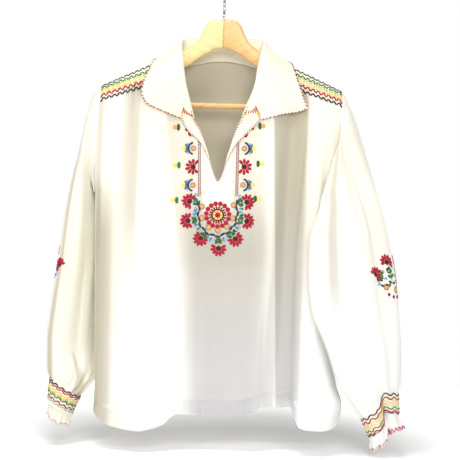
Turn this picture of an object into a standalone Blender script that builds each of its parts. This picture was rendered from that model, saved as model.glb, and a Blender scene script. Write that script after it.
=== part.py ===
import bpy
import math
import numpy as np

for old in list(bpy.data.objects):
    bpy.data.objects.remove(old, do_unlink=True)

# Driving dimensions in metres
CLOTH = 0.0012
GAP = 0.0003
RIDGE_TOP_Z = -0.0772
RIDGE_SLOPE = 0.479
SHOULDER_X = (-0.2110, 0.2085)
ARMPIT_Z = (-0.3600, -0.3414)
YOKE_DROP = 0.026
SLIT_X = -0.0032
BODY_DEPTH = 0.044
DEPTH_RISE = 0.060
SIDE_ROUND = 0.035
STEP_X = 0.149
HOOK_RADIUS = 0.0240
HOOK_WIRE = 0.0018
BAR_Z = -0.2068
BAR_RADIUS = 0.0050
BAR_HALF = 0.1740
COLLAR_LIFT = 0.0010
SHOULDER_LIFT = 0.0026
CUFF_LENGTH = 0.040
PLEAT_HIGH = 0.0008


def curve(table, name, at):
    """A smooth line through one named column of a table, over its first column."""
    xs = np.array([row[0] for row in table["rows"]], float)
    col = table["columns"].index(name)
    ys = np.array([row[col] for row in table["rows"]], float)
    at = np.clip(np.asarray(at, float), xs[0], xs[-1])
    step = np.diff(xs)
    slope = np.diff(ys) / step
    tangent = np.zeros(len(xs))
    tangent[0] = slope[0]
    tangent[-1] = slope[-1]
    for k in range(1, len(xs) - 1):
        if slope[k - 1] * slope[k] > 0:
            tangent[k] = 2 * slope[k - 1] * slope[k] / (slope[k - 1] + slope[k])
    k = np.clip(np.searchsorted(xs, at, side="right") - 1, 0, len(xs) - 2)
    t = (at - xs[k]) / step[k]
    h = step[k]
    return (
        ys[k] * (1 + 2 * t) * (1 - t) ** 2
        + tangent[k] * h * t * (1 - t) ** 2
        + ys[k + 1] * t * t * (3 - 2 * t)
        + tangent[k + 1] * h * t * t * (t - 1)
    )


# Side edges of the body, by how far down they are
EDGES = {
    "columns": ("down", "left", "right", "step"),
    "rows": (
        (0.170, -0.2110, 0.2085, 0.149),
        (0.206, -0.2110, 0.2085, 0.149),
        (0.260, -0.2130, 0.2040, 0.147),
        (0.350, -0.2168, 0.1985, 0.141),
        (0.460, -0.2150, 0.1992, 0.134),
        (0.620, -0.2110, 0.2035, 0.132),
        (0.685, -0.2092, 0.2115, 0.1325),
        (0.722, -0.2100, 0.2225, 0.134),
        (0.760, -0.2110, 0.2170, 0.138),
    ),
}

# Neckline and slit edge on each side, by distance from the middle
NECK_LEFT = {
    "columns": ("x", "z"),
    "rows": (
        (-0.0785, -0.1410),
        (-0.0725, -0.1530),
        (-0.0600, -0.1996),
        (-0.0500, -0.2306),
        (-0.0361, -0.2520),
        (-0.0214, -0.2884),
        (-0.0152, -0.3110),
        (-0.0120, -0.3240),
        (-0.0085, -0.3345),
        (-0.0032, -0.3405),
    ),
}
NECK_RIGHT = {
    "columns": ("x", "z"),
    "rows": (
        (-0.0032, -0.3405),
        (0.0026, -0.3350),
        (0.0076, -0.3195),
        (0.0124, -0.2932),
        (0.0214, -0.2640),
        (0.0340, -0.2340),
        (0.0500, -0.2013),
        (0.0590, -0.1813),
        (0.0660, -0.1530),
        (0.0785, -0.1410),
    ),
}

# Lower edge of the front and of the back, across
HEM = {
    "columns": ("x", "front", "back"),
    "rows": (
        (-0.212, -0.7425, -0.7425),
        (-0.188, -0.7600, -0.7380),
        (-0.154, -0.7665, -0.7340),
        (-0.129, -0.7684, -0.7330),
        (-0.105, -0.7643, -0.7350),
        (-0.084, -0.7569, -0.7340),
        (-0.074, -0.7470, -0.7330),
        (-0.061, -0.7411, -0.7310),
        (-0.009, -0.7445, -0.7290),
        (0.030, -0.7440, -0.7300),
        (0.053, -0.7388, -0.7310),
        (0.071, -0.7313, -0.7290),
        (0.080, -0.7270, -0.7270),
        (0.110, -0.7285, -0.7250),
        (0.131, -0.7240, -0.7240),
        (0.139, -0.7420, -0.7250),
        (0.145, -0.7551, -0.7270),
        (0.160, -0.7597, -0.7300),
        (0.184, -0.7605, -0.7340),
        (0.208, -0.7560, -0.7390),
        (0.224, -0.7430, -0.7430),
    ),
}

# Large folds: where each runs at three heights, its half width, and how far it stands out
FOLD_HEIGHTS = (0.20, 0.46, 0.75)
FRONT_FOLDS = (
    ("outer_left", -0.182, -0.176, -0.172, 0.012, 0.020, 0.0020, 0.0030, 0.0020),
    ("left_trough", -0.144, -0.150, -0.152, 0.011, 0.012, -0.0080, -0.0010, 0.0000),
    ("left_ridge", -0.108, -0.112, -0.122, 0.020, 0.042, 0.0050, 0.0080, 0.0200),
    ("side_trough", -0.196, -0.192, -0.190, 0.010, 0.012, 0.0000, -0.0040, -0.0060),
    ("middle_trough", -0.020, -0.030, -0.010, 0.050, 0.055, 0.0000, -0.0030, -0.0110),
    ("thin_ridge", 0.092, 0.091, 0.066, 0.010, 0.014, 0.0040, 0.0060, 0.0040),
    ("right_trough", 0.124, 0.116, 0.108, 0.013, 0.020, -0.0090, -0.0150, -0.0230),
)
BACK_FOLDS = (
    ("outer_left", -0.176, -0.170, -0.164, 0.016, 0.024, 0.0020, 0.0060, 0.0120),
    ("left_trough", -0.140, -0.132, -0.126, 0.014, 0.018, -0.0040, -0.0060, -0.0100),
    ("left_ridge", -0.092, -0.088, -0.080, 0.020, 0.030, 0.0030, 0.0070, 0.0110),
    ("middle_trough", -0.018, -0.026, -0.034, 0.022, 0.026, -0.0010, -0.0050, -0.0120),
    ("middle_ridge", 0.050, 0.040, 0.030, 0.024, 0.030, 0.0020, 0.0060, 0.0090),
    ("right_trough", 0.104, 0.096, 0.092, 0.016, 0.022, -0.0040, -0.0070, -0.0120),
    ("right_ridge", 0.150, 0.146, 0.150, 0.018, 0.026, 0.0030, 0.0070, 0.0130),
)
STEP_OUT = {
    "columns": ("down", "out"),
    "rows": ((0.17, 0.002), (0.22, 0.007), (0.46, 0.010), (0.60, 0.012), (0.75, 0.020)),
}

# Gathers that hang below each yoke: where, half width, how far out, how long
GATHERS = (
    (-0.196, 0.0045, 0.0022, 0.050),
    (-0.184, 0.0045, 0.0026, 0.070),
    (-0.171, 0.0045, 0.0028, 0.060),
    (-0.158, 0.0045, 0.0024, 0.090),
    (-0.127, 0.0045, 0.0020, 0.060),
    (0.192, 0.0045, 0.0028, 0.090),
    (0.180, 0.0045, 0.0024, 0.060),
    (0.168, 0.0045, 0.0028, 0.080),
    (0.156, 0.0045, 0.0020, 0.050),
)


def ridge(x):
    """Height of the shoulder line, rounded over the neck of the hanger."""
    return RIDGE_TOP_Z - RIDGE_SLOPE * np.sqrt(np.asarray(x, float) ** 2 + 1e-6)


def depth(drop):
    """How far the cloth stands out from the middle plane below the shoulder line."""
    drop = np.maximum(np.asarray(drop, float), 0)
    return BODY_DEPTH * (1 - np.exp(-1.05 * np.sqrt(drop / DEPTH_RISE)))


def drop_at(out):
    """The drop at which the cloth has come out this far."""
    out = np.minimum(np.abs(np.asarray(out, float)), 0.9 * BODY_DEPTH)
    return DEPTH_RISE * (np.log(1 - out / BODY_DEPTH) / -1.05) ** 2


def edge_depth(side, z):
    """Half depth of the armhole at this height, nothing below the armpit."""
    top = float(ridge(SHOULDER_X[side]))
    share = np.clip((top - z) / (top - ARMPIT_Z[side]), 0, 1)
    return depth(top - z) * np.sqrt(np.maximum(1 - share**3, 0))


def three(low, middle, high, z):
    """A value given at the three heights of the fold tables."""
    a, b, c = FOLD_HEIGHTS
    t = (np.clip(-z, a, c) - b) / np.where(-z < b, b - a, c - b)
    t = np.abs(t)
    t = t * t * (3 - 2 * t)
    return np.where(-z < b, middle + (low - middle) * t, middle + (high - middle) * t)


def folds(table, x, z):
    total = np.zeros(np.broadcast(x, z).shape)
    for name, top, mid, low, wide_top, wide_low, out_top, out_mid, out_low in table:
        centre = three(top, mid, low, z)
        wide = three(wide_top, (wide_top + wide_low) / 2, wide_low, z)
        out = three(out_top, out_mid, out_low, z)
        total = total + out * np.exp(-(((x - centre) / wide) ** 2))
    return total


def body_y(front, x, z, gathers=True):
    """Depth of the front or back panel's middle surface at x, z, as a positive number."""
    x = np.asarray(x, float)
    z = np.asarray(z, float)
    x, z = np.broadcast_arrays(x, z)
    left = curve(EDGES, "left", -z)
    right = curve(EDGES, "right", -z)
    drop = ridge(x) - z
    plain = depth(drop)
    ease = np.clip((drop - YOKE_DROP) / 0.05, 0, 1)
    ease = ease * ease * (3 - 2 * ease)
    if front:
        more = folds(FRONT_FOLDS, x, z) * ease
        step = curve(EDGES, "step", -z)
        out = curve(STEP_OUT, "out", -z)
        more = more + out * 0.5 * (1 + np.tanh((x - step) / 0.0028)) * ease
    else:
        more = folds(BACK_FOLDS, x, z) * ease
    if gathers:
        for centre, wide, out, length in GATHERS:
            start = np.clip((drop - YOKE_DROP) / 0.012, 0, 1)
            fade = np.clip(1 - (drop - YOKE_DROP) / length, 0, 1)
            more = more + out * start * fade * np.exp(-(((x - centre) / wide) ** 2))
    near = np.minimum(x - left, right - x)
    near = np.clip(near / SIDE_ROUND, 0, 1)
    mask = np.sqrt(1 - (1 - near) ** 2)
    side = np.where(x < (left + right) / 2, edge_depth(0, z), edge_depth(1, z))
    return side + (plain + more - side) * mask


# Meshes
def material(name, colour, rough, metal=0.0):
    mat = bpy.data.materials.get(name)
    if mat is None:
        mat = bpy.data.materials.new(name)
        mat.use_nodes = True
        shader = mat.node_tree.nodes["Principled BSDF"]
        shader.inputs["Base Color"].default_value = (*colour, 1.0)
        shader.inputs["Roughness"].default_value = rough
        shader.inputs["Metallic"].default_value = metal
    return mat


def add(name, points, faces, mat):
    mesh = bpy.data.meshes.new(name)
    mesh.from_pydata([tuple(p) for p in points], [], faces)
    mesh.materials.append(mat)
    for poly in mesh.polygons:
        poly.use_smooth = True
    obj = bpy.data.objects.new(name, mesh)
    bpy.context.scene.collection.objects.link(obj)
    return obj


def normals(grid, closed):
    """Unit normals of a grid of points, the cross product of down and across."""
    if closed:
        across = np.roll(grid, -1, axis=1) - np.roll(grid, 1, axis=1)
    else:
        across = np.gradient(grid, axis=1)
    down = np.gradient(grid, axis=0)
    n = np.cross(down, across)
    return n / np.maximum(np.linalg.norm(n, axis=2, keepdims=True), 1e-12)


def wall(name, grid, mat, closed=False, relief=None, keep=None, thick=CLOTH):
    """A closed wall round a grid of middle points; relief raises the outer side.

    keep is an array of unit vectors that the wall's own direction has nothing of,
    so that the end faces at a seam lie flat against the next piece.
    """
    n = normals(grid, closed)
    if keep is not None:
        n = n - (n * keep).sum(axis=2, keepdims=True) * keep
        n = n / np.maximum(np.linalg.norm(n, axis=2, keepdims=True), 1e-12)
    raised = np.zeros(grid.shape[:2]) if relief is None else relief
    outer = grid + n * (thick / 2 + raised)[..., None]
    inner = grid - n * thick / 2
    rows, cols = grid.shape[:2]
    count = rows * cols
    points = np.concatenate([outer.reshape(-1, 3), inner.reshape(-1, 3)])

    def at(r, c):
        return r * cols + c % cols

    faces = []
    spans = cols if closed else cols - 1
    for r in range(rows - 1):
        for c in range(spans):
            a, b, d, e = at(r, c), at(r + 1, c), at(r + 1, c + 1), at(r, c + 1)
            faces.append((a, b, d, e))
            faces.append((e + count, d + count, b + count, a + count))
    for c in range(spans):
        a, b = at(0, c), at(0, c + 1)
        faces.append((a, b, b + count, a + count))
        a, b = at(rows - 1, c), at(rows - 1, c + 1)
        faces.append((b, a, a + count, b + count))
    if not closed:
        for r in range(rows - 1):
            a, b = at(r, 0), at(r + 1, 0)
            faces.append((b, a, a + count, b + count))
            a, b = at(r, cols - 1), at(r + 1, cols - 1)
            faces.append((a, b, b + count, a + count))
    return add(name, points, faces, mat)


IVORY = material("ivory_cloth", (0.86, 0.83, 0.76), 0.75)
SMOCKED = material("smocked_cloth", (0.84, 0.74, 0.50), 0.8)
PALE_WOOD = material("pale_wood", (0.72, 0.50, 0.27), 0.5)
WARM_WOOD = material("warm_wood", (0.66, 0.36, 0.14), 0.5)
STEEL = material("hook_steel", (0.62, 0.62, 0.62), 0.25, 1.0)


# Front and back
def front_columns():
    left, right = SHOULDER_X
    turn = [SIDE_ROUND * (1 - math.cos(math.radians(a))) for a in (0, 25, 50, 72)]
    xs = [left + t for t in turn]
    xs += list(np.linspace(-0.180, -0.130, 9))
    xs += list(np.linspace(-0.119, -0.0865, 4))
    xs += list(np.linspace(-0.0785, SLIT_X, 12))
    xs += list(np.linspace(SLIT_X, 0.0785, 13))[1:]
    xs += list(np.linspace(0.0885, 0.1385, 6))
    xs += [STEP_X - 0.0055, STEP_X - 0.0025, STEP_X, STEP_X + 0.0025, STEP_X + 0.0055]
    xs += list(np.linspace(0.160, 0.184, 5))
    xs += [right - t for t in reversed(turn)]
    return np.array(xs)


def back_columns():
    left, right = SHOULDER_X
    turn = [SIDE_ROUND * (1 - math.cos(math.radians(a))) for a in (0, 25, 50, 72)]
    xs = [left + t for t in turn]
    xs += list(np.linspace(-0.176, -0.0885, 9))
    xs += list(np.linspace(-0.0785, 0.0785, 11))
    xs += list(np.linspace(0.0885, 0.172, 9))
    xs += [right - t for t in reversed(turn)]
    return np.array(xs)


def shifted(base, z):
    """The columns follow the side edges and the folded edge down the body."""
    down = -z
    knots = np.array([SHOULDER_X[0], -0.14, 0.088, STEP_X, SHOULDER_X[1]])
    moved = np.stack(
        [
            curve(EDGES, "left", down) - SHOULDER_X[0],
            np.zeros_like(down),
            np.zeros_like(down),
            curve(EDGES, "step", down) - STEP_X,
            curve(EDGES, "right", down) - SHOULDER_X[1],
        ],
        axis=-1,
    )
    share = np.stack([np.interp(base, knots, np.eye(5)[k]) for k in range(5)], axis=-1)
    return base + (moved * share).sum(axis=-1)


def yoke_edge(x):
    return ridge(x) - YOKE_DROP - 3.2 * GAP


def front_top(x):
    """Upper edge of the front: below the yokes, then the neckline and the slit."""
    z = yoke_edge(x)
    z = np.where((x > SLIT_X) & (x < 0.07851), curve(NECK_RIGHT, "z", x), z)
    return np.where((x <= SLIT_X) & (x > -0.07851), curve(NECK_LEFT, "z", x), z)


def back_top(x):
    rise = np.cos(np.clip(np.abs(x) / 0.0785, 0, 1) * math.pi / 2)
    low = yoke_edge(np.array(0.0785))
    neck = low + (-0.1265 - low) * rise**1.2
    return np.where(np.abs(x) > 0.07851, yoke_edge(x), neck)


def body_grid(front, base, downs):
    """Middle points of the front or the back, a row for each share of the way down."""
    top = front_top(base) if front else back_top(base)
    side = "front" if front else "back"
    hem = np.full_like(base, -0.74)
    for _ in range(6):
        hem = curve(HEM, side, shifted(base, hem))
    share = np.asarray(downs)[:, None]
    z = top[None, :] + (hem - top)[None, :] * share
    x = shifted(np.broadcast_to(base, z.shape), z)
    y = body_y(front, x, z)
    y = np.maximum(y, GAP / 2)
    return np.stack([x, -y if front else y, z], axis=-1)


def seam_keep(grid):
    """Directions that the side seams and the armhole edges keep clear of."""
    keep = np.zeros_like(grid)
    for col, side in ((0, 0), (-1, 1)):
        for r in range(grid.shape[0]):
            low = grid[r, col, 2] < ARMPIT_Z[side] + 0.001
            keep[r, col] = (0, 1, 0) if low else (1, 0, 0)
    return keep


def down_shares(count, power):
    return np.linspace(0, 1, count) ** power


front = body_grid(True, front_columns(), down_shares(12, 1.45))
wall("front", front, IVORY, keep=seam_keep(front))
back = body_grid(False, back_columns(), down_shares(11, 1.35))[:, ::-1]
wall("back", back, IVORY, keep=seam_keep(back[:, ::-1])[:, ::-1])


# Shoulder yokes
def yoke(name, side):
    out_x = SHOULDER_X[side]
    sign = -1 if side == 0 else 1
    xs = np.linspace(sign * 0.0785, out_x, 27)
    around = np.linspace(-1, 1, 7)
    grid = np.zeros((len(around), len(xs), 3))
    relief = np.zeros((len(around), len(xs)))
    for r, q in enumerate(around):
        drop = YOKE_DROP * q * q
        y = np.sign(q) * depth(drop)
        grid[r, :, 0] = xs
        grid[r, :, 1] = y
        grid[r, :, 2] = ridge(xs) - drop
        inner = 0 if r in (0, len(around) - 1) else 1
        relief[r] = inner * PLEAT_HIGH * (np.arange(len(xs)) % 2)
    keep = np.zeros_like(grid)
    keep[:, 0] = (1, 0, 0)
    keep[:, -1] = (1, 0, 0)
    if side == 1:
        return wall(name, grid[::-1], SMOCKED, relief=relief[::-1], keep=keep)
    return wall(name, grid, SMOCKED, relief=relief, keep=keep)


yoke("yoke_left", 0)
yoke("yoke_right", 1)

# Collar: fold and outer edge, from the front end round the back to the other front end
COLLAR = {
    "columns": ("along", "fold_x", "fold_y", "fold_z", "edge_x", "edge_y", "edge_z"),
    "rows": (
        (0.00, -0.0460, -0.030, -0.2315, -0.0690, -0.030, -0.2335),
        (0.07, -0.0510, -0.030, -0.2130, -0.1000, -0.030, -0.2225),
        (0.13, -0.0560, -0.030, -0.1950, -0.1290, -0.030, -0.2085),
        (0.19, -0.0625, -0.030, -0.1700, -0.1388, -0.030, -0.1900),
        (0.25, -0.0665, -0.030, -0.1460, -0.1350, -0.026, -0.1690),
        (0.31, -0.0700, -0.022, -0.1180, -0.1270, -0.018, -0.1500),
        (0.36, -0.0715, -0.006, -0.0985, -0.1175, 0.000, -0.1355),
        (0.41, -0.0700, 0.016, -0.0910, -0.1060, 0.024, -0.1460),
        (0.45, -0.0540, 0.030, -0.0865, -0.0820, 0.034, -0.1540),
        (0.50, 0.0000, 0.034, -0.0840, 0.0000, 0.036, -0.1580),
        (0.55, 0.0540, 0.030, -0.0850, 0.0820, 0.034, -0.1530),
        (0.59, 0.0700, 0.016, -0.0900, 0.1060, 0.024, -0.1450),
        (0.64, 0.0690, -0.006, -0.0985, 0.1165, 0.000, -0.1345),
        (0.69, 0.0650, -0.022, -0.1190, 0.1260, -0.018, -0.1480),
        (0.75, 0.0600, -0.030, -0.1470, 0.1315, -0.026, -0.1640),
        (0.81, 0.0555, -0.030, -0.1720, 0.1390, -0.030, -0.1840),
        (0.87, 0.0500, -0.030, -0.1890, 0.1480, -0.030, -0.2100),
        (0.93, 0.0430, -0.030, -0.2060, 0.1060, -0.030, -0.2220),
        (1.00, 0.0360, -0.030, -0.2245, 0.0700, -0.030, -0.2320),
    ),
}
COLLAR_ENDS_Z = (-0.2310, -0.2240)
SEAM_CORNERS = (0.27, 0.41, 0.59, 0.73)


def neck_x(side, z):
    """Where the neckline is at this height, on the left or the right."""
    xs = np.linspace(-0.0785, SLIT_X, 80) if side == 0 else np.linspace(SLIT_X, 0.0785, 80)
    zs = curve((NECK_LEFT, NECK_RIGHT)[side], "z", xs)
    order = np.argsort(zs)
    return float(np.interp(z, zs[order], xs[order]))


def collar_seam(s):
    """The collar's lower edge: along the neckline, over the yoke's end, round the back."""
    a, b, c, d = SEAM_CORNERS
    inset = 0.0012
    if s <= a or s >= d:
        side = 0 if s <= a else 1
        t = s / a if side == 0 else (1 - s) / (1 - d)
        top = float(yoke_edge(np.array(0.0785)))
        z = COLLAR_ENDS_Z[side] + (top - COLLAR_ENDS_Z[side]) * t
        x = neck_x(side, z)
        y = -float(body_y(True, x, z, gathers=False))
        return np.array([x + (inset if side == 0 else -inset), y, z])
    if s < b or s > c:
        t = (s - a) / (b - a) if s < b else (d - s) / (d - c)
        q = 2 * t - 1
        x = -0.0785 if s < b else 0.0785
        drop = YOKE_DROP * q * q
        y = math.copysign(float(depth(drop)), q)
        return np.array([x + (inset if s < b else -inset), y, float(ridge(x)) - drop + 2 * GAP])
    x = (2 * (s - b) / (c - b) - 1) * 0.0775
    z = float(back_top(np.array(x)))
    return np.array([x, float(body_y(False, x, z, gathers=False)), z + 3 * GAP])


def clear_of_body(p, lift):
    """Moves a point out until it stands this far off the blouse's outer surface."""
    x, y, z = p
    above = z - float(ridge(x))
    if abs(y) < 0.018 and abs(x) > 0.07:
        lowest = float(ridge(x)) - float(drop_at(y)) + lift + SHOULDER_LIFT
        return np.array([x, y, max(z, lowest)])
    if above > -lift:
        return np.array([x, y, z])
    around = np.array([-0.006, -0.003, 0.0, 0.003, 0.006])
    nearby = body_y(y < 0, x + around[:, None], z + around[None, :])
    out = max(abs(y), float(nearby.max()) + lift)
    return np.array([x, math.copysign(out, y), z])


def collar_grid(along, leaf):
    """Rows go across the collar, columns along it."""
    bend = 0.0018
    columns = []
    for s in along:
        here = [float(curve(COLLAR, name, s)) for name in COLLAR["columns"][1:]]
        seam = collar_seam(s)
        fold = clear_of_body(here[0:3], CLOTH * 1.5)
        edge = np.array(here[3:6])
        reach = edge - fold
        reach = reach / np.linalg.norm(reach)
        rise = fold - seam
        rise = rise / np.linalg.norm(rise)
        outward = reach - rise * float(np.dot(reach, rise))
        outward = outward / np.linalg.norm(outward)
        points = [seam, seam + (fold - seam) * 0.55, fold - rise * 0.001]
        points.append(fold + rise * bend * 0.7 + outward * bend * 0.9)
        for t in leaf:
            swell = 0.004 * math.sin(math.pi * min(t * 1.15, 1.0))
            p = fold + (edge - fold) * t + outward * bend * 2.1 * (1 - t)
            q = p + np.array([0, math.copysign(swell, p[1]) if abs(p[1]) > 0.02 else 0, 0])
            points.append(clear_of_body(q, CLOTH + COLLAR_LIFT))
        columns.append(points)
    return np.array(columns).transpose(1, 0, 2)


a, b, c, d = SEAM_CORNERS
COLLAR_ALONG = list(np.linspace(0, a, 9)) + list(np.linspace(a, b, 7))[1:]
COLLAR_ALONG += list(np.linspace(b, c, 8))[1:] + list(np.linspace(c, d, 7))[1:]
COLLAR_ALONG += list(np.linspace(d, 1, 9))[1:]
collar = collar_grid(COLLAR_ALONG, (0.10, 0.38, 0.70, 1.0))
wall("collar", collar, IVORY)


# Lapels: the slit's edges turned outward, on the front
def lapel(name, rows):
    grid = np.zeros((len(rows), 4, 3))
    for r, (inner_x, inner_z, outer_x, outer_z) in enumerate(rows):
        for c in range(4):
            t = c / 3
            x = inner_x + (outer_x - inner_x) * t
            z = inner_z + (outer_z - inner_z) * t
            y = float(body_y(True, x, z, gathers=False)) + CLOTH + GAP + 0.0002
            y += 0.0015 * math.sin(math.pi * t)
            grid[r, c] = (x, -y, z)
    if rows[0][0] > rows[0][2]:
        grid = grid[:, ::-1]
    return wall(name, grid, IVORY)


LAPEL_LEFT = (
    (-0.0470, -0.2330, -0.0680, -0.2352),
    (-0.0415, -0.2430, -0.0630, -0.2465),
    (-0.0350, -0.2525, -0.0540, -0.2575),
    (-0.0285, -0.2680, -0.0395, -0.2690),
    (-0.0228, -0.2845, -0.0285, -0.2820),
    (-0.0180, -0.3005, -0.0203, -0.2993),
)
LAPEL_RIGHT = (
    (0.0360, -0.2262, 0.0690, -0.2336),
    (0.0320, -0.2355, 0.0555, -0.2460),
    (0.0262, -0.2490, 0.0420, -0.2600),
    (0.0195, -0.2680, 0.0290, -0.2730),
    (0.0124, -0.2930, 0.0182, -0.2895),
    (0.0099, -0.3060, 0.0122, -0.3048),
)
lapel("lapel_left", LAPEL_LEFT)
lapel("lapel_right", LAPEL_RIGHT)

# Sleeves: the outer and the inner line of each, and how far it stands out to front and back
SLEEVE_COLUMNS = (
    "along",
    "out_x", "out_y", "out_z",
    "in_x", "in_y", "in_z",
    "front", "back", "skew", "lean",
)
SLEEVE_LEFT = {
    "columns": SLEEVE_COLUMNS,
    "rows": (
        (0.04, -0.2225, 0.000, -0.1900, -0.2190, 0.006, -0.3615, 0.031, 0.033, -0.1, 0.0),
        (0.10, -0.2325, 0.000, -0.2160, -0.2215, 0.016, -0.3640, 0.031, 0.036, -0.3, 0.0),
        (0.18, -0.2400, 0.000, -0.2480, -0.2220, 0.030, -0.3690, 0.031, 0.038, -0.7, 0.0),
        (0.27, -0.2475, 0.000, -0.2900, -0.2170, 0.045, -0.3770, 0.031, 0.040, -1.0, 0.0),
        (0.37, -0.2568, 0.001, -0.3430, -0.2090, 0.058, -0.3930, 0.032, 0.038, -1.0, 0.0),
        (0.48, -0.2665, 0.002, -0.4100, -0.2050, 0.064, -0.4350, 0.034, 0.038, -1.0, 0.0),
        (0.60, -0.2755, 0.003, -0.4850, -0.2030, 0.066, -0.4980, 0.036, 0.040, -1.0, 0.0),
        (0.74, -0.2862, 0.003, -0.5570, -0.2030, 0.066, -0.5660, 0.037, 0.042, -1.0, 0.0),
        (0.86, -0.2930, 0.002, -0.6250, -0.2040, 0.060, -0.6350, 0.036, 0.040, -1.0, 0.0),
        (0.94, -0.2920, 0.001, -0.6680, -0.2100, 0.040, -0.6830, 0.033, 0.036, -0.6, 0.0),
        (1.00, -0.2873, 0.000, -0.6905, -0.2362, 0.012, -0.7215, 0.027, 0.028, 0.0, 0.0),
    ),
}
SLEEVE_RIGHT = {
    "columns": SLEEVE_COLUMNS,
    "rows": (
        (0.04, 0.2170, 0.000, -0.1905, 0.2025, -0.006, -0.3450, 0.030, 0.032, 0.0, 0.003),
        (0.10, 0.2268, -0.003, -0.2097, 0.2035, -0.022, -0.3500, 0.030, 0.034, 0.1, 0.014),
        (0.17, 0.2370, -0.006, -0.2354, 0.2020, -0.040, -0.3570, 0.028, 0.036, 0.4, 0.024),
        (0.25, 0.2503, -0.010, -0.2784, 0.1920, -0.052, -0.3650, 0.026, 0.038, 0.8, 0.026),
        (0.35, 0.2636, -0.014, -0.3231, 0.1780, -0.059, -0.3770, 0.026, 0.038, 1.0, 0.022),
        (0.45, 0.2769, -0.018, -0.3696, 0.1667, -0.064, -0.3950, 0.026, 0.036, 1.0, 0.010),
        (0.56, 0.2924, -0.022, -0.4298, 0.1550, -0.070, -0.4330, 0.028, 0.034, 1.0, 0.0),
        (0.66, 0.3060, -0.024, -0.4890, 0.1540, -0.074, -0.4900, 0.028, 0.034, 1.0, 0.0),
        (0.76, 0.3135, -0.026, -0.5500, 0.1600, -0.076, -0.5500, 0.028, 0.034, 1.0, 0.0),
        (0.86, 0.3190, -0.026, -0.6150, 0.1860, -0.074, -0.6150, 0.030, 0.034, 0.8, 0.0),
        (0.94, 0.3205, -0.024, -0.6680, 0.2130, -0.064, -0.6850, 0.030, 0.032, 0.4, 0.0),
        (1.00, 0.3177, -0.020, -0.7010, 0.2556, -0.044, -0.7440, 0.026, 0.028, 0.0, 0.0),
    ),
}
# Folds along a sleeve: the angle where each runs at the top and at the cuff, half width, height
SLEEVE_FOLDS = {
    "left": (
        (40, 60, 16, 0.0030),
        (75, 85, 12, -0.0035),
        (105, 100, 14, 0.0040),
        (140, 130, 14, -0.0030),
        (200, 215, 20, 0.0040),
        (235, 240, 14, -0.0035),
        (275, 270, 22, 0.0045),
        (320, 310, 18, -0.0030),
    ),
    "right": (
        (35, 40, 14, 0.0030),
        (62, 58, 10, -0.0040),
        (85, 76, 14, 0.0040),
        (112, 100, 12, -0.0030),
        (135, 132, 14, 0.0030),
        (215, 225, 18, -0.0025),
        (262, 262, 24, 0.0045),
        (310, 300, 18, -0.0030),
    ),
}


def ring(row, angles, side):
    """One ring of a sleeve or cuff; the angle goes from the outer line over the front."""
    out_p = np.array(row[0:3])
    in_p = np.array(row[3:6])
    front, behind, skew = row[6:9]
    lean = row[9] if len(row) > 9 else 0.0
    middle = (out_p + in_p) / 2
    half = (out_p - in_p) / 2
    axis = half / np.linalg.norm(half)
    ahead = np.array([0.0, -1.0, 0.0])
    ahead = ahead - axis * float(np.dot(ahead, axis))
    ahead = ahead / np.linalg.norm(ahead)
    c, s = np.cos(angles), np.sin(angles)
    thin = 1 - max(skew, 0) * (1 - c) / 2
    slim = 1 - max(-skew, 0) * (1 - c) / 2
    reach = np.where(s >= 0, front * s * slim, behind * s * thin)
    points = middle + half * c[:, None] + ahead * reach[:, None]
    points[:, 0] -= lean * np.maximum(s, 0) * (1 - 0.5 * c)
    return points


def armhole_ring(side, angles, out):
    """The body's own armhole edge, moved out by one gap."""
    top = float(ridge(SHOULDER_X[side]))
    z = top + (ARMPIT_Z[side] - top) * (1 - np.cos(angles)) / 2
    y = np.where(np.sin(angles) >= 0, -1, 1) * edge_depth(side, z)
    y[np.abs(np.sin(angles)) < 1e-6] = 0
    x = curve(EDGES, ("left", "right")[side], -z)
    low = np.clip((np.cos(angles) + 0.75) / -0.25, 0, 1)
    away = out + low * (CLOTH / 2 + 0.0003) + 0.0004 * np.abs(np.sin(angles))
    return np.stack([x + (-away if side == 0 else away), y, z], axis=-1)


def tube(table, side, alongs, count):
    angles = np.linspace(0, 2 * math.pi, count, endpoint=False)
    first = armhole_ring(side, angles, GAP)
    label = ("left", "right")[side]
    rows = [first]
    for s in alongs:
        row = [float(curve(table, name, s)) for name in SLEEVE_COLUMNS[1:]]
        points = ring(row, angles, side)
        share = np.sin(math.pi * np.clip(s, 0, 1)) ** 0.6
        blend = np.clip(s / 0.12, 0, 1)
        turn = np.degrees(angles)
        middle = points.mean(axis=0)
        add_out = np.zeros(count)
        for top, low, wide, high in SLEEVE_FOLDS[label]:
            at = top + (low - top) * s
            gap = (turn - at + 180) % 360 - 180
            add_out += high * np.exp(-((gap / wide) ** 2))
        radial = points - middle
        radial = radial / np.maximum(np.linalg.norm(radial, axis=1, keepdims=True), 1e-9)
        thin = 1 - 0.75 * np.exp(-(((turn - 180) / 25) ** 2))
        rows.append(points + radial * (add_out * share * blend * thin)[:, None])
    return np.array(rows), angles


def oriented(grid, side):
    """Rows run down; the angle runs the way that keeps the outer face out."""
    return grid if side == 0 else grid[:, ::-1]


SLEEVE_STEPS = (0.05, 0.11, 0.18, 0.26, 0.36, 0.47, 0.60, 0.73, 0.85, 0.93, 0.97, 1.0)
for side, table in ((0, SLEEVE_LEFT), (1, SLEEVE_RIGHT)):
    grid, angles = tube(table, side, SLEEVE_STEPS, 28)
    keep = np.zeros_like(grid)
    keep[0] = (1, 0, 0)
    name = ("sleeve_left", "sleeve_right")[side]
    wall(name, oriented(grid, side), IVORY, closed=True, keep=oriented(keep, side))

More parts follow.
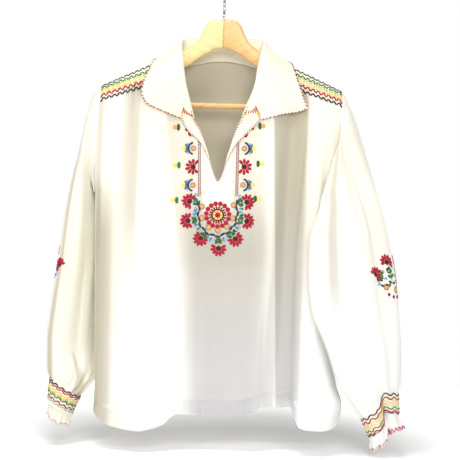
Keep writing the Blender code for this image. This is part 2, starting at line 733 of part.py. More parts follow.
# Cuffs and ruffles
CUFF_COLUMNS = ("along", "out_x", "out_y", "out_z", "in_x", "in_y", "in_z", "front", "back", "skew")
CUFF_LEFT = {
    "columns": CUFF_COLUMNS,
    "rows": (
        (0.0, -0.2873, 0.000, -0.6905, -0.2362, 0.012, -0.7215, 0.027, 0.028, 0.0),
        (0.5, -0.2895, 0.000, -0.7095, -0.2435, 0.008, -0.7380, 0.025, 0.026, 0.0),
        (1.0, -0.2905, 0.000, -0.7290, -0.2500, 0.006, -0.7545, 0.024, 0.025, 0.0),
        (2.0, -0.2975, 0.000, -0.7480, -0.2520, 0.006, -0.7770, 0.027, 0.028, 0.0),
    ),
}
CUFF_RIGHT = {
    "columns": CUFF_COLUMNS,
    "rows": (
        (0.0, 0.3177, -0.020, -0.7010, 0.2556, -0.044, -0.7440, 0.026, 0.028, 0.0),
        (0.5, 0.3185, -0.020, -0.7190, 0.2635, -0.042, -0.7600, 0.025, 0.026, 0.0),
        (1.0, 0.3190, -0.020, -0.7360, 0.2705, -0.040, -0.7750, 0.024, 0.025, 0.0),
        (2.0, 0.3270, -0.020, -0.7600, 0.2745, -0.040, -0.7970, 0.028, 0.028, 0.0),
    ),
}
CUFF_FOLD = {"left": (20, 0.0), "right": (96, -0.012)}
RUFFLE_WAVES = 11
RUFFLE_HIGH = 0.0045


def cuff_ring(table, side, s, angles):
    row = [float(curve(table, name, s)) for name in CUFF_COLUMNS[1:]]
    points = ring(row, angles, side)
    at, deep = CUFF_FOLD[("left", "right")[side]]
    gap = (np.degrees(angles) - at + 180) % 360 - 180
    share = min(s / 0.8, 1.0)
    middle = points.mean(axis=0)
    radial = points - middle
    radial = radial / np.linalg.norm(radial, axis=1, keepdims=True)
    return points + radial * (deep * share * np.exp(-((gap / 17) ** 2)))[:, None]


for side, table in ((0, CUFF_LEFT), (1, CUFF_RIGHT)):
    label = ("left", "right")[side]
    angles = np.linspace(0, 2 * math.pi, 44, endpoint=False)
    start = 2 * GAP / CUFF_LENGTH
    rows = [cuff_ring(table, side, s, angles) for s in (start, 0.12, 0.88, 1.0)]
    grid = np.array(rows)
    relief = np.tile(PLEAT_HIGH * (np.arange(44) % 2), (4, 1))
    relief[0] = 0
    relief[-1] = 0
    wall("cuff_" + label, oriented(grid, side), SMOCKED, closed=True, relief=oriented(relief, side))
    rows = []
    for s in (1.0 + 1.5 * start, 1.5, 2.0):
        points = cuff_ring(table, side, s, angles)
        middle = points.mean(axis=0)
        radial = points - middle
        radial = radial / np.linalg.norm(radial, axis=1, keepdims=True)
        wave = np.cos(angles * RUFFLE_WAVES + 0.6 * np.sin(angles * 3))
        rows.append(points + radial * (RUFFLE_HIGH * (s - 1.0) * wave)[:, None])
    wall("ruffle_" + label, oriented(np.array(rows), side), IVORY, closed=True)


# Hanger: two wooden arms that meet at the middle
ARM = {
    "columns": ("x", "top", "low", "half"),
    "rows": (
        (0.00015, -0.0555, -0.1046, 0.0070),
        (0.0120, -0.0560, -0.1070, 0.0070),
        (0.0240, -0.0590, -0.1130, 0.0070),
        (0.0310, -0.0670, -0.1170, 0.0070),
        (0.0370, -0.0810, -0.1210, 0.0070),
        (0.0440, -0.0935, -0.1260, 0.0070),
        (0.0560, -0.1040, -0.1350, 0.0070),
        (0.0690, -0.1120, -0.1425, 0.0070),
        (0.1000, -0.1268, -0.1590, 0.0070),
        (0.1400, -0.1460, -0.1795, 0.0070),
        (0.1735, -0.1625, -0.1965, 0.0070),
        (0.1765, -0.1640, -0.2150, 0.0070),
        (0.1880, -0.1695, -0.2175, 0.0070),
        (0.1960, -0.1740, -0.2150, 0.0064),
        (0.2030, -0.1810, -0.2070, 0.0050),
    ),
}


def arm(name, sign, mat):
    xs = [row[0] for row in ARM["rows"]]
    xs = sorted(xs + [0.084, 0.120, 0.155])
    turns = np.radians(np.arange(0, 360, 30) + 15)
    rows = []
    for x in xs:
        top = float(curve(ARM, "top", x))
        low = float(curve(ARM, "low", x))
        half = float(curve(ARM, "half", x))
        if x >= 0.069:
            top = float(ridge(x)) - CLOTH / 2 - 0.0013
        if x > 0.193:
            top = top - (x - 0.193) ** 2 * 45
        c, s = np.cos(turns), np.sin(turns)
        y = half * np.sign(c) * np.abs(c) ** 0.6
        tall = np.sign(s) * (np.abs(s) / math.sin(math.radians(75))) ** 0.9
        z = (top + low) / 2 + (top - low) / 2 * tall
        rows.append(np.stack([np.full_like(y, sign * x), y, z], axis=-1))
    rows = np.array(rows)
    count = len(turns)
    points = rows.reshape(-1, 3)
    faces = []
    for r in range(len(rows) - 1):
        for c in range(count):
            d = (c + 1) % count
            quad = (r * count + c, (r + 1) * count + c, (r + 1) * count + d, r * count + d)
            faces.append(quad if sign < 0 else quad[::-1])
    first = tuple(range(count))
    last = tuple((len(rows) - 1) * count + c for c in range(count))
    faces.append(first if sign < 0 else first[::-1])
    faces.append(last[::-1] if sign < 0 else last)
    return add(name, points, faces, mat)


arm("hanger_arm_left", -1, PALE_WOOD)
arm("hanger_arm_right", 1, WARM_WOOD)


def rod(name, path, radius, mat, count=12):
    """A round rod along a path, closed at both ends."""
    path = np.array(path, float)
    rows = []
    side = None
    for k in range(len(path)):
        a = path[max(k - 1, 0)]
        b = path[min(k + 1, len(path) - 1)]
        ahead = (b - a) / np.linalg.norm(b - a)
        if side is None:
            side = np.cross(ahead, (0.3, 0.2, 0.9))
        side = side - ahead * float(np.dot(side, ahead))
        side = side / np.linalg.norm(side)
        other = np.cross(ahead, side)
        turns = np.linspace(0, 2 * math.pi, count, endpoint=False)
        r = radius[k] if isinstance(radius, (list, tuple)) else radius
        rows.append(path[k] + r * (np.cos(turns)[:, None] * side + np.sin(turns)[:, None] * other))
    points = np.concatenate(rows)
    faces = []
    for r in range(len(path) - 1):
        for c in range(count):
            d = (c + 1) % count
            faces.append((r * count + c, r * count + d, (r + 1) * count + d, (r + 1) * count + c))
    faces.append(tuple(reversed(range(count))))
    faces.append(tuple((len(path) - 1) * count + c for c in range(count)))
    return add(name, points, faces, mat)


rod(
    "hanger_bar",
    [(x, 0.0, BAR_Z) for x in (-BAR_HALF, -0.09, 0.0, 0.09, BAR_HALF)],
    BAR_RADIUS,
    PALE_WOOD,
    14,
)

# Hook: the rail lies along X under its inside top, which is the origin
hook_centre = -(HOOK_RADIUS - HOOK_WIRE)
path = [(0.0, 0.0, -0.0552), (0.0, 0.0, -0.0515)]
path += [(0.0, 0.0012, -0.0480), (0.0, 0.0048, -0.0447), (0.0, 0.0098, -0.0420)]
for angle in np.linspace(-46, 205, 16):
    a = math.radians(angle)
    path.append((0.0, HOOK_RADIUS * math.cos(a), hook_centre + HOOK_RADIUS * math.sin(a)))
rod("hanger_hook", path, HOOK_WIRE, STEEL, 8)
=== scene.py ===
import math

import bpy
import numpy as np
from mathutils import Matrix, Vector


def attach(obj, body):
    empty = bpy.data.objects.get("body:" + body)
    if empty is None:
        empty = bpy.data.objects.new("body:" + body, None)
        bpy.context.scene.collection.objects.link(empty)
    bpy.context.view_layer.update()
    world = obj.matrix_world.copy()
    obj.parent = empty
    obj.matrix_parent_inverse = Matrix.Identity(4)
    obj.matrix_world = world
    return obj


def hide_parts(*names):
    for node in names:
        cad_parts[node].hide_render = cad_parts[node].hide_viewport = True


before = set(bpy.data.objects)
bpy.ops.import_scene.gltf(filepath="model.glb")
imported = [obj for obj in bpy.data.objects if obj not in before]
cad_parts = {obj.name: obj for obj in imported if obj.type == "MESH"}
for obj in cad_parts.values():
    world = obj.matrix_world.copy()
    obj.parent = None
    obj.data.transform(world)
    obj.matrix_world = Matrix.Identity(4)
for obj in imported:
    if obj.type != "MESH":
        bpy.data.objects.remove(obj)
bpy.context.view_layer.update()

rng = np.random.default_rng(7)
HEM_HIGH = 0.028

# Driving dimensions in metres
CLOTH = 0.0012
GAP = 0.0003
RIDGE_TOP_Z = -0.0772
RIDGE_SLOPE = 0.479
SHOULDER_X = (-0.2110, 0.2085)
ARMPIT_Z = (-0.3600, -0.3414)
YOKE_DROP = 0.026
SLIT_X = -0.0032
BODY_DEPTH = 0.044
DEPTH_RISE = 0.060
SIDE_ROUND = 0.035
STEP_X = 0.149
HOOK_RADIUS = 0.0240
HOOK_WIRE = 0.0018
BAR_Z = -0.2068
BAR_RADIUS = 0.0050
BAR_HALF = 0.1740
COLLAR_LIFT = 0.0010
SHOULDER_LIFT = 0.0026
PLEAT_HIGH = 0.0008
COLLAR_THICK = 0.0011

SIDES = ("left", "right")
NECK_HALF = 0.0785
NECK_EDGE = NECK_HALF + 0.00001
BACK_NECK_Z = -0.1265


def smooth(t):
    """A soft step: nothing below zero, one above one."""
    t = np.clip(t, 0, 1)
    return t * t * (3 - 2 * t)


def hump(away, wide):
    """A soft rise: one in the middle, fading over this half width."""
    return np.exp(-((away / wide) ** 2))


def apart(turn, at):
    """Degrees from one angle to another, between -180 and 180."""
    return (turn - at + 180) % 360 - 180


def unit(vectors):
    """The same directions with a length of one."""
    return vectors / np.maximum(np.linalg.norm(vectors, axis=-1, keepdims=True), 1e-12)


def distances(line):
    """How far along a line each of its points is."""
    return np.concatenate([[0], np.cumsum(np.linalg.norm(np.diff(line, axis=0), axis=1))])


def curve(table, name, at):
    """A smooth line through one named column of a table, over its first column."""
    xs = np.array([row[0] for row in table["rows"]], float)
    col = table["columns"].index(name)
    ys = np.array([row[col] for row in table["rows"]], float)
    at = np.clip(np.asarray(at, float), xs[0], xs[-1])
    step = np.diff(xs)
    slope = np.diff(ys) / step
    tangent = np.zeros(len(xs))
    tangent[0] = slope[0]
    tangent[-1] = slope[-1]
    for k in range(1, len(xs) - 1):
        if slope[k - 1] * slope[k] > 0:
            tangent[k] = 2 * slope[k - 1] * slope[k] / (slope[k - 1] + slope[k])
    k = np.clip(np.searchsorted(xs, at, side="right") - 1, 0, len(xs) - 2)
    t = (at - xs[k]) / step[k]
    h = step[k]
    return (
        ys[k] * (1 + 2 * t) * (1 - t) ** 2
        + tangent[k] * h * t * (1 - t) ** 2
        + ys[k + 1] * t * t * (3 - 2 * t)
        + tangent[k + 1] * h * t * t * (t - 1)
    )


def values_at(table, at):
    """Every column of a table after the first, at one place."""
    return [float(curve(table, name, at)) for name in table["columns"][1:]]


# Side edges of the body, by how far down they are
EDGES = {
    "columns": ("down", "left", "right", "step"),
    "rows": (
        (0.170, -0.2110, 0.2085, 0.149),
        (0.206, -0.2110, 0.2085, 0.149),
        (0.260, -0.2130, 0.2040, 0.147),
        (0.350, -0.2168, 0.1985, 0.141),
        (0.460, -0.2150, 0.1992, 0.134),
        (0.620, -0.2110, 0.2035, 0.132),
        (0.685, -0.2092, 0.2115, 0.1325),
        (0.722, -0.2100, 0.2225, 0.134),
        (0.760, -0.2110, 0.2170, 0.138),
    ),
}

# Neckline and slit edge on each side, by distance from the middle
NECK_LEFT = {
    "columns": ("x", "z"),
    "rows": (
        (-0.0785, -0.1410),
        (-0.0725, -0.1530),
        (-0.0600, -0.1996),
        (-0.0500, -0.2306),
        (-0.0361, -0.2520),
        (-0.0214, -0.2884),
        (-0.0152, -0.3110),
        (-0.0108, -0.3240),
        (-0.0070, -0.3340),
        (-0.0032, -0.3405),
    ),
}
NECK_RIGHT = {
    "columns": ("x", "z"),
    "rows": (
        (-0.0032, -0.3405),
        (0.0012, -0.3340),
        (0.0062, -0.3195),
        (0.0124, -0.2932),
        (0.0214, -0.2640),
        (0.0340, -0.2340),
        (0.0500, -0.2013),
        (0.0590, -0.1813),
        (0.0660, -0.1530),
        (0.0785, -0.1410),
    ),
}

# Lower edge of the front and of the back, across
HEM = {
    "columns": ("x", "front", "back"),
    "rows": (
        (-0.212, -0.7425, -0.7425),
        (-0.188, -0.7600, -0.7380),
        (-0.154, -0.7665, -0.7340),
        (-0.129, -0.7684, -0.7330),
        (-0.105, -0.7643, -0.7350),
        (-0.084, -0.7569, -0.7340),
        (-0.074, -0.7470, -0.7330),
        (-0.061, -0.7411, -0.7310),
        (-0.009, -0.7445, -0.7290),
        (0.030, -0.7440, -0.7300),
        (0.053, -0.7388, -0.7310),
        (0.071, -0.7313, -0.7290),
        (0.080, -0.7270, -0.7270),
        (0.110, -0.7285, -0.7250),
        (0.131, -0.7240, -0.7240),
        (0.139, -0.7420, -0.7250),
        (0.145, -0.7551, -0.7270),
        (0.160, -0.7597, -0.7300),
        (0.184, -0.7605, -0.7340),
        (0.208, -0.7560, -0.7390),
        (0.224, -0.7430, -0.7430),
    ),
}

# Large folds: where each runs at three heights, its half width, and how far it stands out
FOLD_HEIGHTS = (0.20, 0.46, 0.75)
FRONT_FOLDS = (
    ("outer_left", -0.182, -0.176, -0.172, 0.012, 0.020, 0.0020, 0.0030, 0.0020),
    ("left_trough", -0.144, -0.150, -0.152, 0.011, 0.012, -0.0080, -0.0010, 0.0000),
    ("left_ridge", -0.108, -0.112, -0.122, 0.020, 0.042, 0.0050, 0.0080, 0.0200),
    ("side_trough", -0.196, -0.192, -0.190, 0.010, 0.012, 0.0000, -0.0040, -0.0060),
    ("middle_trough", -0.020, -0.030, -0.010, 0.050, 0.055, 0.0000, -0.0030, -0.0110),
    ("thin_ridge", 0.092, 0.091, 0.066, 0.010, 0.014, 0.0040, 0.0060, 0.0040),
    ("right_trough", 0.124, 0.116, 0.108, 0.013, 0.020, -0.0090, -0.0150, -0.0230),
)
BACK_FOLDS = (
    ("outer_left", -0.176, -0.170, -0.164, 0.016, 0.024, 0.0020, 0.0060, 0.0120),
    ("left_trough", -0.140, -0.132, -0.126, 0.014, 0.018, -0.0040, -0.0060, -0.0100),
    ("left_ridge", -0.092, -0.088, -0.080, 0.020, 0.030, 0.0030, 0.0070, 0.0110),
    ("middle_trough", -0.018, -0.026, -0.034, 0.022, 0.026, -0.0010, -0.0050, -0.0120),
    ("middle_ridge", 0.050, 0.040, 0.030, 0.024, 0.030, 0.0020, 0.0060, 0.0090),
    ("right_trough", 0.104, 0.096, 0.092, 0.016, 0.022, -0.0040, -0.0070, -0.0120),
    ("right_ridge", 0.150, 0.146, 0.150, 0.018, 0.026, 0.0030, 0.0070, 0.0130),
)
STEP_OUT = {
    "columns": ("down", "out"),
    "rows": ((0.17, 0.002), (0.22, 0.007), (0.46, 0.010), (0.60, 0.012), (0.75, 0.020)),
}

# Gathers that hang below each yoke: where, half width, how far out, how long
GATHERS = (
    (-0.196, 0.0045, 0.0022, 0.050),
    (-0.184, 0.0045, 0.0026, 0.070),
    (-0.171, 0.0045, 0.0028, 0.060),
    (-0.158, 0.0045, 0.0024, 0.090),
    (-0.127, 0.0045, 0.0020, 0.060),
    (0.192, 0.0045, 0.0028, 0.090),
    (0.180, 0.0045, 0.0024, 0.060),
    (0.168, 0.0045, 0.0028, 0.080),
    (0.156, 0.0045, 0.0020, 0.050),
)


def ridge(x):
    """Height of the shoulder line, rounded over the neck of the hanger."""
    return RIDGE_TOP_Z - RIDGE_SLOPE * np.sqrt(np.asarray(x, float) ** 2 + 1e-6)


def depth(drop):
    """How far the cloth stands out from the middle plane below the shoulder line."""
    drop = np.maximum(np.asarray(drop, float), 0)
    return BODY_DEPTH * (1 - np.exp(-1.05 * np.sqrt(drop / DEPTH_RISE)))


def drop_at(out):
    """The drop at which the cloth has come out this far."""
    out = np.minimum(np.abs(np.asarray(out, float)), 0.9 * BODY_DEPTH)
    return DEPTH_RISE * (np.log(1 - out / BODY_DEPTH) / -1.05) ** 2


def edge_depth(side, z):
    """Half depth of the armhole at this height, nothing below the armpit."""
    top = float(ridge(SHOULDER_X[side]))
    share = np.clip((top - z) / (top - ARMPIT_Z[side]), 0, 1)
    return depth(top - z) * np.sqrt(np.maximum(1 - share**3, 0))


def three(low, middle, high, z):
    """A value given at the three heights of the fold tables."""
    a, b, c = FOLD_HEIGHTS
    t = (np.clip(-z, a, c) - b) / np.where(-z < b, b - a, c - b)
    t = smooth(np.abs(t))
    return np.where(-z < b, middle + (low - middle) * t, middle + (high - middle) * t)


def folds(table, x, z):
    """How far the large folds stand out at x, z."""
    total = np.zeros(np.broadcast(x, z).shape)
    for _, top, mid, low, wide_top, wide_low, out_top, out_mid, out_low in table:
        centre = three(top, mid, low, z)
        wide = three(wide_top, (wide_top + wide_low) / 2, wide_low, z)
        out = three(out_top, out_mid, out_low, z)
        total = total + out * hump(x - centre, wide)
    return total


def body_y(front, x, z, gathers=True):
    """Depth of the front or back panel's middle surface at x, z, as a positive number."""
    x = np.asarray(x, float)
    z = np.asarray(z, float)
    x, z = np.broadcast_arrays(x, z)
    left = curve(EDGES, "left", -z)
    right = curve(EDGES, "right", -z)
    drop = ridge(x) - z
    plain = depth(drop)
    ease = smooth((drop - YOKE_DROP) / 0.05)
    if front:
        more = folds(FRONT_FOLDS, x, z) * ease
        step = curve(EDGES, "step", -z)
        out = curve(STEP_OUT, "out", -z)
        more = more + out * 0.5 * (1 + np.tanh((x - step) / 0.0028)) * ease
    else:
        more = folds(BACK_FOLDS, x, z) * ease
    if gathers:
        for centre, wide, out, length in GATHERS:
            start = np.clip((drop - YOKE_DROP) / 0.012, 0, 1)
            fade = np.clip(1 - (drop - YOKE_DROP) / length, 0, 1)
            more = more + out * start * fade * hump(x - centre, wide)
    near = np.minimum(x - left, right - x)
    near = np.clip(near / SIDE_ROUND, 0, 1)
    mask = np.sqrt(1 - (1 - near) ** 2)
    side = np.where(x < (left + right) / 2, edge_depth(0, z), edge_depth(1, z))
    return side + (plain + more - side) * mask


# Creases: x at the top and at the lower end, z of both ends, half width, how far out
CREASES_FRONT = (
    (-0.2015, -0.1990, -0.230, -0.520, 0.0040, -0.0011),
    (-0.1890, -0.1880, -0.215, -0.400, 0.0045, 0.0010),
    (-0.1760, -0.1800, -0.300, -0.640, 0.0060, 0.0014),
    (-0.1655, -0.1600, -0.205, -0.520, 0.0040, -0.0012),
    (-0.1480, -0.1560, -0.200, -0.470, 0.0045, 0.0013),
    (-0.1360, -0.1390, -0.205, -0.440, 0.0035, -0.0016),
    (-0.1245, -0.1300, -0.200, -0.700, 0.0060, 0.0012),
    (-0.1130, -0.1100, -0.330, -0.745, 0.0065, -0.0010),
    (-0.0985, -0.0930, -0.215, -0.420, 0.0040, 0.0018),
    (-0.0890, -0.0810, -0.300, -0.620, 0.0055, -0.0009),
    (-0.0720, -0.0650, -0.460, -0.735, 0.0070, -0.0010),
    (-0.0500, -0.0560, -0.480, -0.730, 0.0080, 0.0009),
    (-0.0330, -0.0250, -0.490, -0.735, 0.0060, -0.0010),
    (-0.0100, -0.0160, -0.475, -0.700, 0.0075, 0.0010),
    (0.0110, 0.0180, -0.480, -0.735, 0.0060, -0.0011),
    (0.0290, 0.0420, -0.460, -0.730, 0.0070, 0.0010),
    (0.0620, 0.0560, -0.320, -0.600, 0.0045, -0.0013),
    (0.0760, 0.0720, -0.240, -0.560, 0.0045, 0.0020),
    (0.0850, 0.0820, -0.240, -0.700, 0.0035, -0.0016),
    (0.1010, 0.1020, -0.250, -0.500, 0.0045, 0.0010),
    (0.1180, 0.1100, -0.260, -0.690, 0.0050, -0.0010),
    (0.1620, 0.1530, -0.230, -0.540, 0.0050, -0.0013),
    (0.1730, 0.1680, -0.215, -0.700, 0.0055, 0.0012),
    (0.1850, 0.1790, -0.240, -0.480, 0.0045, -0.0012),
    (0.1950, 0.1900, -0.250, -0.600, 0.0050, 0.0011),
    (0.1760, 0.1900, -0.560, -0.755, 0.0070, -0.0012),
    (-0.1560, -0.1720, -0.590, -0.760, 0.0075, -0.0018),
    (-0.1690, -0.1850, -0.600, -0.755, 0.0055, 0.0016),
    (0.1980, 0.1500, -0.345, -0.440, 0.0050, -0.0012),
    (-0.2050, -0.1650, -0.362, -0.450, 0.0050, -0.0010),
)
CREASES_BACK = (
    (-0.1980, -0.1950, -0.220, -0.540, 0.0045, 0.0011),
    (-0.1830, -0.1870, -0.210, -0.420, 0.0040, -0.0012),
    (-0.1650, -0.1600, -0.205, -0.600, 0.0055, 0.0013),
    (-0.1520, -0.1490, -0.240, -0.480, 0.0045, -0.0012),
    (-0.1330, -0.1400, -0.195, -0.450, 0.0045, 0.0012),
    (-0.1160, -0.1100, -0.205, -0.700, 0.0060, -0.0013),
    (-0.1000, -0.0960, -0.230, -0.420, 0.0040, 0.0010),
    (-0.0790, -0.0700, -0.260, -0.620, 0.0060, -0.0011),
    (-0.0560, -0.0600, -0.400, -0.725, 0.0065, 0.0012),
    (-0.0300, -0.0220, -0.260, -0.500, 0.0060, 0.0008),
    (-0.0080, -0.0150, -0.420, -0.725, 0.0060, -0.0012),
    (0.0160, 0.0120, -0.300, -0.560, 0.0065, 0.0010),
    (0.0360, 0.0260, -0.500, -0.725, 0.0060, -0.0010),
    (0.0640, 0.0600, -0.280, -0.640, 0.0060, 0.0010),
    (0.0830, 0.0870, -0.210, -0.460, 0.0045, -0.0012),
    (0.1030, 0.0990, -0.205, -0.560, 0.0050, 0.0012),
    (0.1240, 0.1280, -0.200, -0.470, 0.0045, -0.0013),
    (0.1400, 0.1380, -0.230, -0.720, 0.0060, 0.0011),
    (0.1640, 0.1700, -0.210, -0.500, 0.0045, -0.0012),
    (0.1790, 0.1760, -0.220, -0.430, 0.0045, 0.0012),
    (0.1930, 0.1870, -0.260, -0.650, 0.0055, -0.0011),
    (-0.1750, -0.1950, -0.560, -0.735, 0.0060, -0.0014),
    (0.1500, 0.1250, -0.560, -0.725, 0.0065, 0.0012),
    (0.0900, 0.1150, -0.590, -0.725, 0.0060, -0.0011),
    (0.1960, 0.1560, -0.350, -0.450, 0.0050, 0.0011),
    (-0.2060, -0.1660, -0.365, -0.460, 0.0050, 0.0010),
)


def fine_gathers(count, low, high):
    """Uneven small gathers in a stretch: where, half width, how far out, how long."""
    step = (high - low) / count
    rows = []
    for k in range(count):
        where = low + (k + 0.5 + 0.3 * rng.uniform(-1, 1)) * step
        out = rng.uniform(0.0004, 0.0011) * (1 if k % 2 else -1)
        rows.append((where, step * rng.uniform(0.30, 0.42), out, rng.uniform(0.020, 0.075)))
    return rows


FINE_FRONT = fine_gathers(22, -0.207, -0.088) + fine_gathers(22, 0.088, 0.205)
FINE_BACK = fine_gathers(22, -0.207, -0.088) + fine_gathers(22, 0.088, 0.205)
PUCKERS = [(rng.uniform(-0.19, 0.20), rng.uniform(0.0022, 0.0040)) for _ in range(44)]


def cloth_y(front, x, z):
    """Depth of the front or back cloth with its creases and the gathers below the yokes."""
    x, z = np.broadcast_arrays(np.asarray(x, float), np.asarray(z, float))
    y = body_y(front, x, z)
    more = np.zeros(x.shape)
    for top_x, low_x, top_z, low_z, wide, out in CREASES_FRONT if front else CREASES_BACK:
        t = (z - top_z) / (low_z - top_z)
        centre = top_x + (low_x - top_x) * np.clip(t, 0, 1)
        centre = centre + 0.0018 * np.sin(9 * np.clip(t, 0, 1) + 40 * top_x)
        ends = smooth(t / 0.22) * smooth((1 - t) / 0.30)
        if low_z < -0.72:
            ends = smooth(t / 0.22)
        more += out * ends * hump(x - centre, wide)
    drop = ridge(x) - z
    for where, wide, out, length in FINE_FRONT if front else FINE_BACK:
        start = smooth((drop - YOKE_DROP) / 0.005)
        fade = smooth(1 - (drop - YOKE_DROP) / length)
        more += out * start * fade * hump(x - where, wide)
    hem = curve(HEM, "front" if front else "back", x)
    band = np.clip((z - hem) / HEM_HIGH, 0, 1)
    for where, wide in PUCKERS:
        more += 0.0007 * smooth(1 - band) * hump(x - where, wide)
    left = curve(EDGES, "left", -z)
    right = curve(EDGES, "right", -z)
    near = smooth(np.minimum(x - left, right - x) / 0.010)
    return y + more * near


def shifted(base, z):
    """The columns follow the side edges and the folded edge down the body."""
    down = -z
    knots = np.array([SHOULDER_X[0], -0.14, 0.088, STEP_X, SHOULDER_X[1]])
    moved = np.stack(
        [
            curve(EDGES, "left", down) - SHOULDER_X[0],
            np.zeros_like(down),
            np.zeros_like(down),
            curve(EDGES, "step", down) - STEP_X,
            curve(EDGES, "right", down) - SHOULDER_X[1],
        ],
        axis=-1,
    )
    share = np.stack([np.interp(base, knots, np.eye(5)[k]) for k in range(5)], axis=-1)
    return base + (moved * share).sum(axis=-1)


def yoke_edge(x):
    """Height at which the front and the back end below the yokes."""
    return ridge(x) - YOKE_DROP - 3.2 * GAP


def front_top(x):
    """Upper edge of the front: below the yokes, then the neckline and the slit."""
    z = yoke_edge(x)
    z = np.where((x > SLIT_X) & (x < NECK_EDGE), curve(NECK_RIGHT, "z", x), z)
    return np.where((x <= SLIT_X) & (x > -NECK_EDGE), curve(NECK_LEFT, "z", x), z)


def back_top(x):
    """Upper edge of the back: below the yokes, and a shallow neckline between them."""
    rise = np.cos(np.clip(np.abs(x) / NECK_HALF, 0, 1) * math.pi / 2)
    low = yoke_edge(np.array(NECK_HALF))
    neck = low + (BACK_NECK_Z - low) * rise**1.2
    return np.where(np.abs(x) > NECK_EDGE, yoke_edge(x), neck)


# Collar: fold and outer edge, from the front end round the back to the other front end
COLLAR = {
    "columns": ("along", "fold_x", "fold_y", "fold_z", "edge_x", "edge_y", "edge_z"),
    "rows": (
        (0.00, -0.0460, -0.030, -0.2315, -0.0690, -0.030, -0.2335),
        (0.07, -0.0510, -0.030, -0.2130, -0.1000, -0.030, -0.2225),
        (0.13, -0.0560, -0.030, -0.1950, -0.1290, -0.030, -0.2085),
        (0.19, -0.0625, -0.030, -0.1700, -0.1388, -0.030, -0.1900),
        (0.25, -0.0665, -0.030, -0.1460, -0.1350, -0.026, -0.1690),
        (0.31, -0.0700, -0.022, -0.1180, -0.1270, -0.018, -0.1500),
        (0.36, -0.0715, -0.006, -0.0985, -0.1175, 0.000, -0.1355),
        (0.41, -0.0700, 0.016, -0.0910, -0.1060, 0.024, -0.1460),
        (0.45, -0.0540, 0.030, -0.0865, -0.0820, 0.034, -0.1540),
        (0.50, 0.0000, 0.034, -0.0840, 0.0000, 0.036, -0.1580),
        (0.55, 0.0540, 0.030, -0.0850, 0.0820, 0.034, -0.1530),
        (0.59, 0.0700, 0.016, -0.0900, 0.1060, 0.024, -0.1450),
        (0.64, 0.0690, -0.006, -0.0985, 0.1165, 0.000, -0.1345),
        (0.69, 0.0650, -0.022, -0.1190, 0.1260, -0.018, -0.1480),
        (0.75, 0.0600, -0.030, -0.1470, 0.1315, -0.026, -0.1640),
        (0.81, 0.0555, -0.030, -0.1720, 0.1390, -0.030, -0.1840),
        (0.87, 0.0500, -0.030, -0.1890, 0.1480, -0.030, -0.2100),
        (0.93, 0.0430, -0.030, -0.2060, 0.1060, -0.030, -0.2220),
        (1.00, 0.0360, -0.030, -0.2245, 0.0700, -0.030, -0.2320),
    ),
}
COLLAR_ENDS_Z = (-0.2310, -0.2240)
SEAM_CORNERS = (0.27, 0.41, 0.59, 0.73)


def neck_x(side, z):
    """Where the neckline is at this height, on the left or the right."""
    xs = np.linspace(-NECK_HALF, SLIT_X, 80) if side == 0 else np.linspace(SLIT_X, NECK_HALF, 80)
    zs = curve((NECK_LEFT, NECK_RIGHT)[side], "z", xs)
    order = np.argsort(zs)
    return float(np.interp(z, zs[order], xs[order]))


def collar_seam(s):
    """The collar's lower edge: along the neckline, over the yoke's end, round the back."""
    a, b, c, d = SEAM_CORNERS
    inset = 0.0012
    if s <= a or s >= d:
        side = 0 if s <= a else 1
        t = s / a if side == 0 else (1 - s) / (1 - d)
        top = float(yoke_edge(np.array(NECK_HALF)))
        z = COLLAR_ENDS_Z[side] + (top - COLLAR_ENDS_Z[side]) * t
        x = neck_x(side, z)
        y = -float(body_y(True, x, z, gathers=False))
        return np.array([x + (inset if side == 0 else -inset), y, z])
    if s < b or s > c:
        t = (s - a) / (b - a) if s < b else (d - s) / (d - c)
        q = 2 * t - 1
        x = -NECK_HALF if s < b else NECK_HALF
        drop = YOKE_DROP * q * q
        y = math.copysign(float(depth(drop)), q)
        return np.array([x + (inset if s < b else -inset), y, float(ridge(x)) - drop + 2 * GAP])
    x = (2 * (s - b) / (c - b) - 1) * 0.0775
    z = float(back_top(np.array(x)))
    return np.array([x, float(body_y(False, x, z, gathers=False)), z + 3 * GAP])


def clear_of_body(p, lift):
    """Moves a point out until it stands this far off the blouse's outer surface."""
    x, y, z = p
    above = z - float(ridge(x))
    if abs(y) < 0.018 and abs(x) > 0.07:
        lowest = float(ridge(x)) - float(drop_at(y)) + lift + SHOULDER_LIFT
        return np.array([x, y, max(z, lowest)])
    if above > -lift:
        return np.array([x, y, z])
    around = np.array([-0.006, -0.003, 0.0, 0.003, 0.006])
    nearby = cloth_y(bool(y < 0), x + around[:, None], z + around[None, :])
    out = max(abs(y), float(nearby.max()) + lift)
    return np.array([x, math.copysign(out, y), z])


def collar_grid(along, leaf):
    """Rows go across the collar, columns along it."""
    bend = 0.0018
    columns = []
    for s in along:
        here = values_at(COLLAR, s)
        seam = collar_seam(s)
        fold = clear_of_body(here[0:3], CLOTH * 1.5)
        edge = np.array(here[3:6])
        reach = unit(edge - fold)
        rise = unit(fold - seam)
        outward = unit(reach - rise * float(np.dot(reach, rise)))
        points = [seam, seam + (fold - seam) * 0.55, fold - rise * 0.001]
        points.append(fold + rise * bend * 0.7 + outward * bend * 0.9)
        for t in leaf:
            swell = 0.004 * math.sin(math.pi * min(t * 1.15, 1.0))
            p = fold + (edge - fold) * t + outward * bend * 2.1 * (1 - t)
            q = p + np.array([0, math.copysign(swell, p[1]) if abs(p[1]) > 0.02 else 0, 0])
            points.append(clear_of_body(q, CLOTH + COLLAR_LIFT))
        columns.append(points)
    return np.array(columns).transpose(1, 0, 2)


